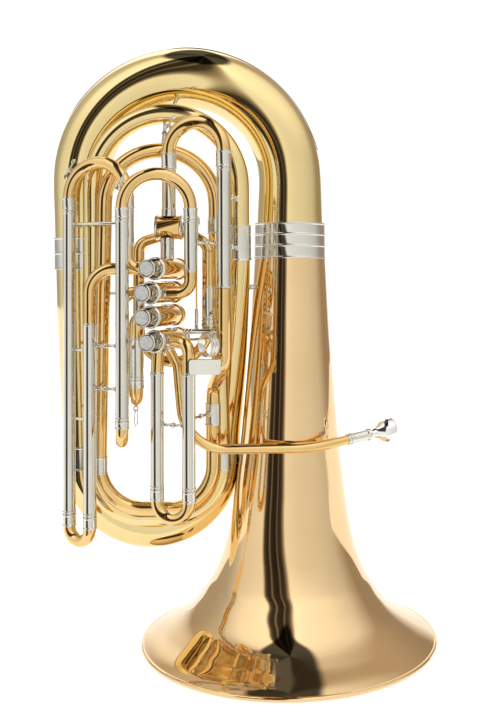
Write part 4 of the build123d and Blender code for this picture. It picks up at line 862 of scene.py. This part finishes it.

# valve springs: fixed coils of wire under each valve, towards the bottom cap
for n in (1, 2, 3, 4):
    with Piece("spring_coil_%d" % n, "horn", ["spring_%d" % n], "spring_steel", (STEEL,)):
        p0 = vpt(n, 101.7)
        u = V(0, 0, 1)
        w = into.cross(u)
        turns, steps = 29.0 / 5.2, 260
        P, T = [], []
        for i in range(steps + 1):
            a = 2 * math.pi * turns * i / steps
            P.append(p0 + into * (29.0 * i / steps) + (u * math.cos(a) + w * math.sin(a)) * 11.4)
            T.append(((w * math.cos(a) - u * math.sin(a)) * 11.4 + into * (5.2 / (2 * math.pi))).normalized())
        skin(P, T, [0.6] * len(P), None, 12, 0)
    coil = bpy.data.objects["spring_coil_%d" % n]
    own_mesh(coil)

# the rotor stays as the CAD has it and gets a material of its own
frame["nodes"]["rotor"].data.materials.clear()
frame["nodes"]["rotor"].data.materials.append(STEEL)

# -------------------------------------------------------------------- stage
fl = bpy.data.meshes.new("floor")
fl.from_pydata([(-9, -0.46, 0), (9, -0.46, 0), (9, 9, 0), (-9, 9, 0)], [], [(0, 1, 2, 3)])
floor = bpy.data.objects.new("floor", fl)
bpy.context.scene.collection.objects.link(floor)
fm = bpy.data.materials.new("floor_white")
fm.use_nodes = True
fb = fm.node_tree.nodes["Principled BSDF"]
fn = noise_node(fm.node_tree, 1.5)
fr = fm.node_tree.nodes.new("ShaderNodeValToRGB")
fr.color_ramp.elements[0].color = (0.93, 0.93, 0.93, 1)
fr.color_ramp.elements[1].color = (0.95, 0.95, 0.95, 1)
fm.node_tree.links.new(fn.outputs["Fac"], fr.inputs["Fac"])
fm.node_tree.links.new(fr.outputs["Color"], fb.inputs["Base Color"])
fb.inputs["Roughness"].default_value = 0.8
fb.inputs["Specular IOR Level"].default_value = 0.1
fm.node_tree.links.new(fr.outputs["Color"], fb.inputs["Emission Color"])
fb.inputs["Emission Strength"].default_value = 0.52
fl.materials.append(fm)

world = bpy.data.worlds.new("studio")
bpy.context.scene.world = world
world.use_nodes = True
wn = world.node_tree
bg = wn.nodes["Background"]
tc = wn.nodes.new("ShaderNodeTexCoord")
sep = wn.nodes.new("ShaderNodeSeparateXYZ")
wn.links.new(tc.outputs["Generated"], sep.inputs["Vector"])
neg = wn.nodes.new("ShaderNodeMath")
neg.operation = "MULTIPLY"
neg.inputs[1].default_value = -1.0
wn.links.new(sep.outputs["Y"], neg.inputs[0])
at = wn.nodes.new("ShaderNodeMath")
at.operation = "ARCTAN2"
wn.links.new(sep.outputs["X"], at.inputs[0])
wn.links.new(neg.outputs[0], at.inputs[1])
mr = wn.nodes.new("ShaderNodeMapRange")
mr.inputs["From Min"].default_value = -math.pi
mr.inputs["From Max"].default_value = math.pi
# the gap between the softboxes swings to the right as it rises
turn = wn.nodes.new("ShaderNodeMath")
turn.operation = "MULTIPLY_ADD"
turn.inputs[1].default_value = -0.42
wn.links.new(sep.outputs["Z"], turn.inputs[0])
wn.links.new(at.outputs[0], turn.inputs[2])
wn.links.new(turn.outputs[0], mr.inputs["Value"])
cr = wn.nodes.new("ShaderNodeValToRGB")
wn.links.new(mr.outputs["Result"], cr.inputs["Fac"])


def az(deg):
    return 0.5 + deg / 360.0


stops = [(0.0, 1.15), (az(-157), 1.12), (az(-145), 0.42), (az(-112), 0.50), (az(-88), 0.86), (az(-52), 1.0), (az(-48), 0.10),
         (az(-44), 0.03), (az(-39), 0.03), (az(-37.5), 0.28), (az(-36), 0.03), (az(-26), 0.02), (az(-24.5), 0.22), (az(-23), 0.03),
         (az(-17), 0.05), (az(-13), 0.30), (az(-9), 1.04), (az(10), 0.93), (az(50), 0.84), (az(84), 0.70), (az(112), 0.36),
         (az(145), 0.34), (az(157), 1.12), (1.0, 1.15)]
els = cr.color_ramp.elements
els[0].position, els[0].color = 0.0, (1.15, 1.15, 1.15, 1)
els[1].position, els[1].color = 1.0, (1.15, 1.15, 1.15, 1)
for p_, v_ in stops[1:-1]:
    e = els.new(p_)
    if v_ > 1.1:
        warm = (v_, v_, v_)
    elif v_ > 0.45:
        warm = (v_, v_ * 0.99, v_ * 0.965)
    else:
        warm = (v_ * 1.1, v_ * 0.92, v_ * 0.75)
    e.color = (*warm, 1)
# the softboxes lean in overhead and leave a dark strip along the ceiling
shift = wn.nodes.new("ShaderNodeMath")
shift.operation = "ADD"
shift.inputs[1].default_value = 0.05
wn.links.new(sep.outputs["X"], shift.inputs[0])
side = wn.nodes.new("ShaderNodeMath")
side.operation = "ABSOLUTE"
wn.links.new(shift.outputs[0], side.inputs[0])
lean = wn.nodes.new("ShaderNodeMath")
lean.operation = "MULTIPLY_ADD"
lean.inputs[1].default_value = -0.9
wn.links.new(side.outputs[0], lean.inputs[0])
wn.links.new(sep.outputs["Z"], lean.inputs[2])
up = wn.nodes.new("ShaderNodeMapRange")
up.interpolation_type = "SMOOTHSTEP"
up.inputs["From Min"].default_value = 0.71
up.inputs["From Max"].default_value = 0.78
up.inputs["To Min"].default_value = 1.0
up.inputs["To Max"].default_value = 0.07
wn.links.new(lean.outputs[0], up.inputs["Value"])
wn.links.new(cr.outputs["Color"], bg.inputs["Color"])
# and they are brighter towards their tops
glow = wn.nodes.new("ShaderNodeMapRange")
glow.interpolation_type = "SMOOTHSTEP"
glow.inputs["From Min"].default_value = 0.25
glow.inputs["From Max"].default_value = 0.75
glow.inputs["To Min"].default_value = 1.0
glow.inputs["To Max"].default_value = 1.38
wn.links.new(sep.outputs["Z"], glow.inputs["Value"])
both = wn.nodes.new("ShaderNodeMath")
both.operation = "MULTIPLY"
wn.links.new(up.outputs["Result"], both.inputs[0])
wn.links.new(glow.outputs["Result"], both.inputs[1])
wn.links.new(both.outputs[0], bg.inputs["Strength"])

# ------------------------------------------------------------------- camera
cam = bpy.data.cameras.new("camera")
co = bpy.data.objects.new("camera", cam)
co.location = (0.0428, -1.61, 0.62)
co.rotation_euler = (math.radians(90), 0, 0)
cam.sensor_fit = "AUTO"
cam.sensor_width = 36.0
cam.lens = 47.0
cam.shift_x = -0.104
cam.shift_y = -0.118
bpy.context.scene.collection.objects.link(co)
bpy.context.scene.camera = co
sc = bpy.context.scene
sc.view_settings.view_transform = "Standard"
sc.view_settings.look = "None"
sc.view_settings.exposure = 0.0
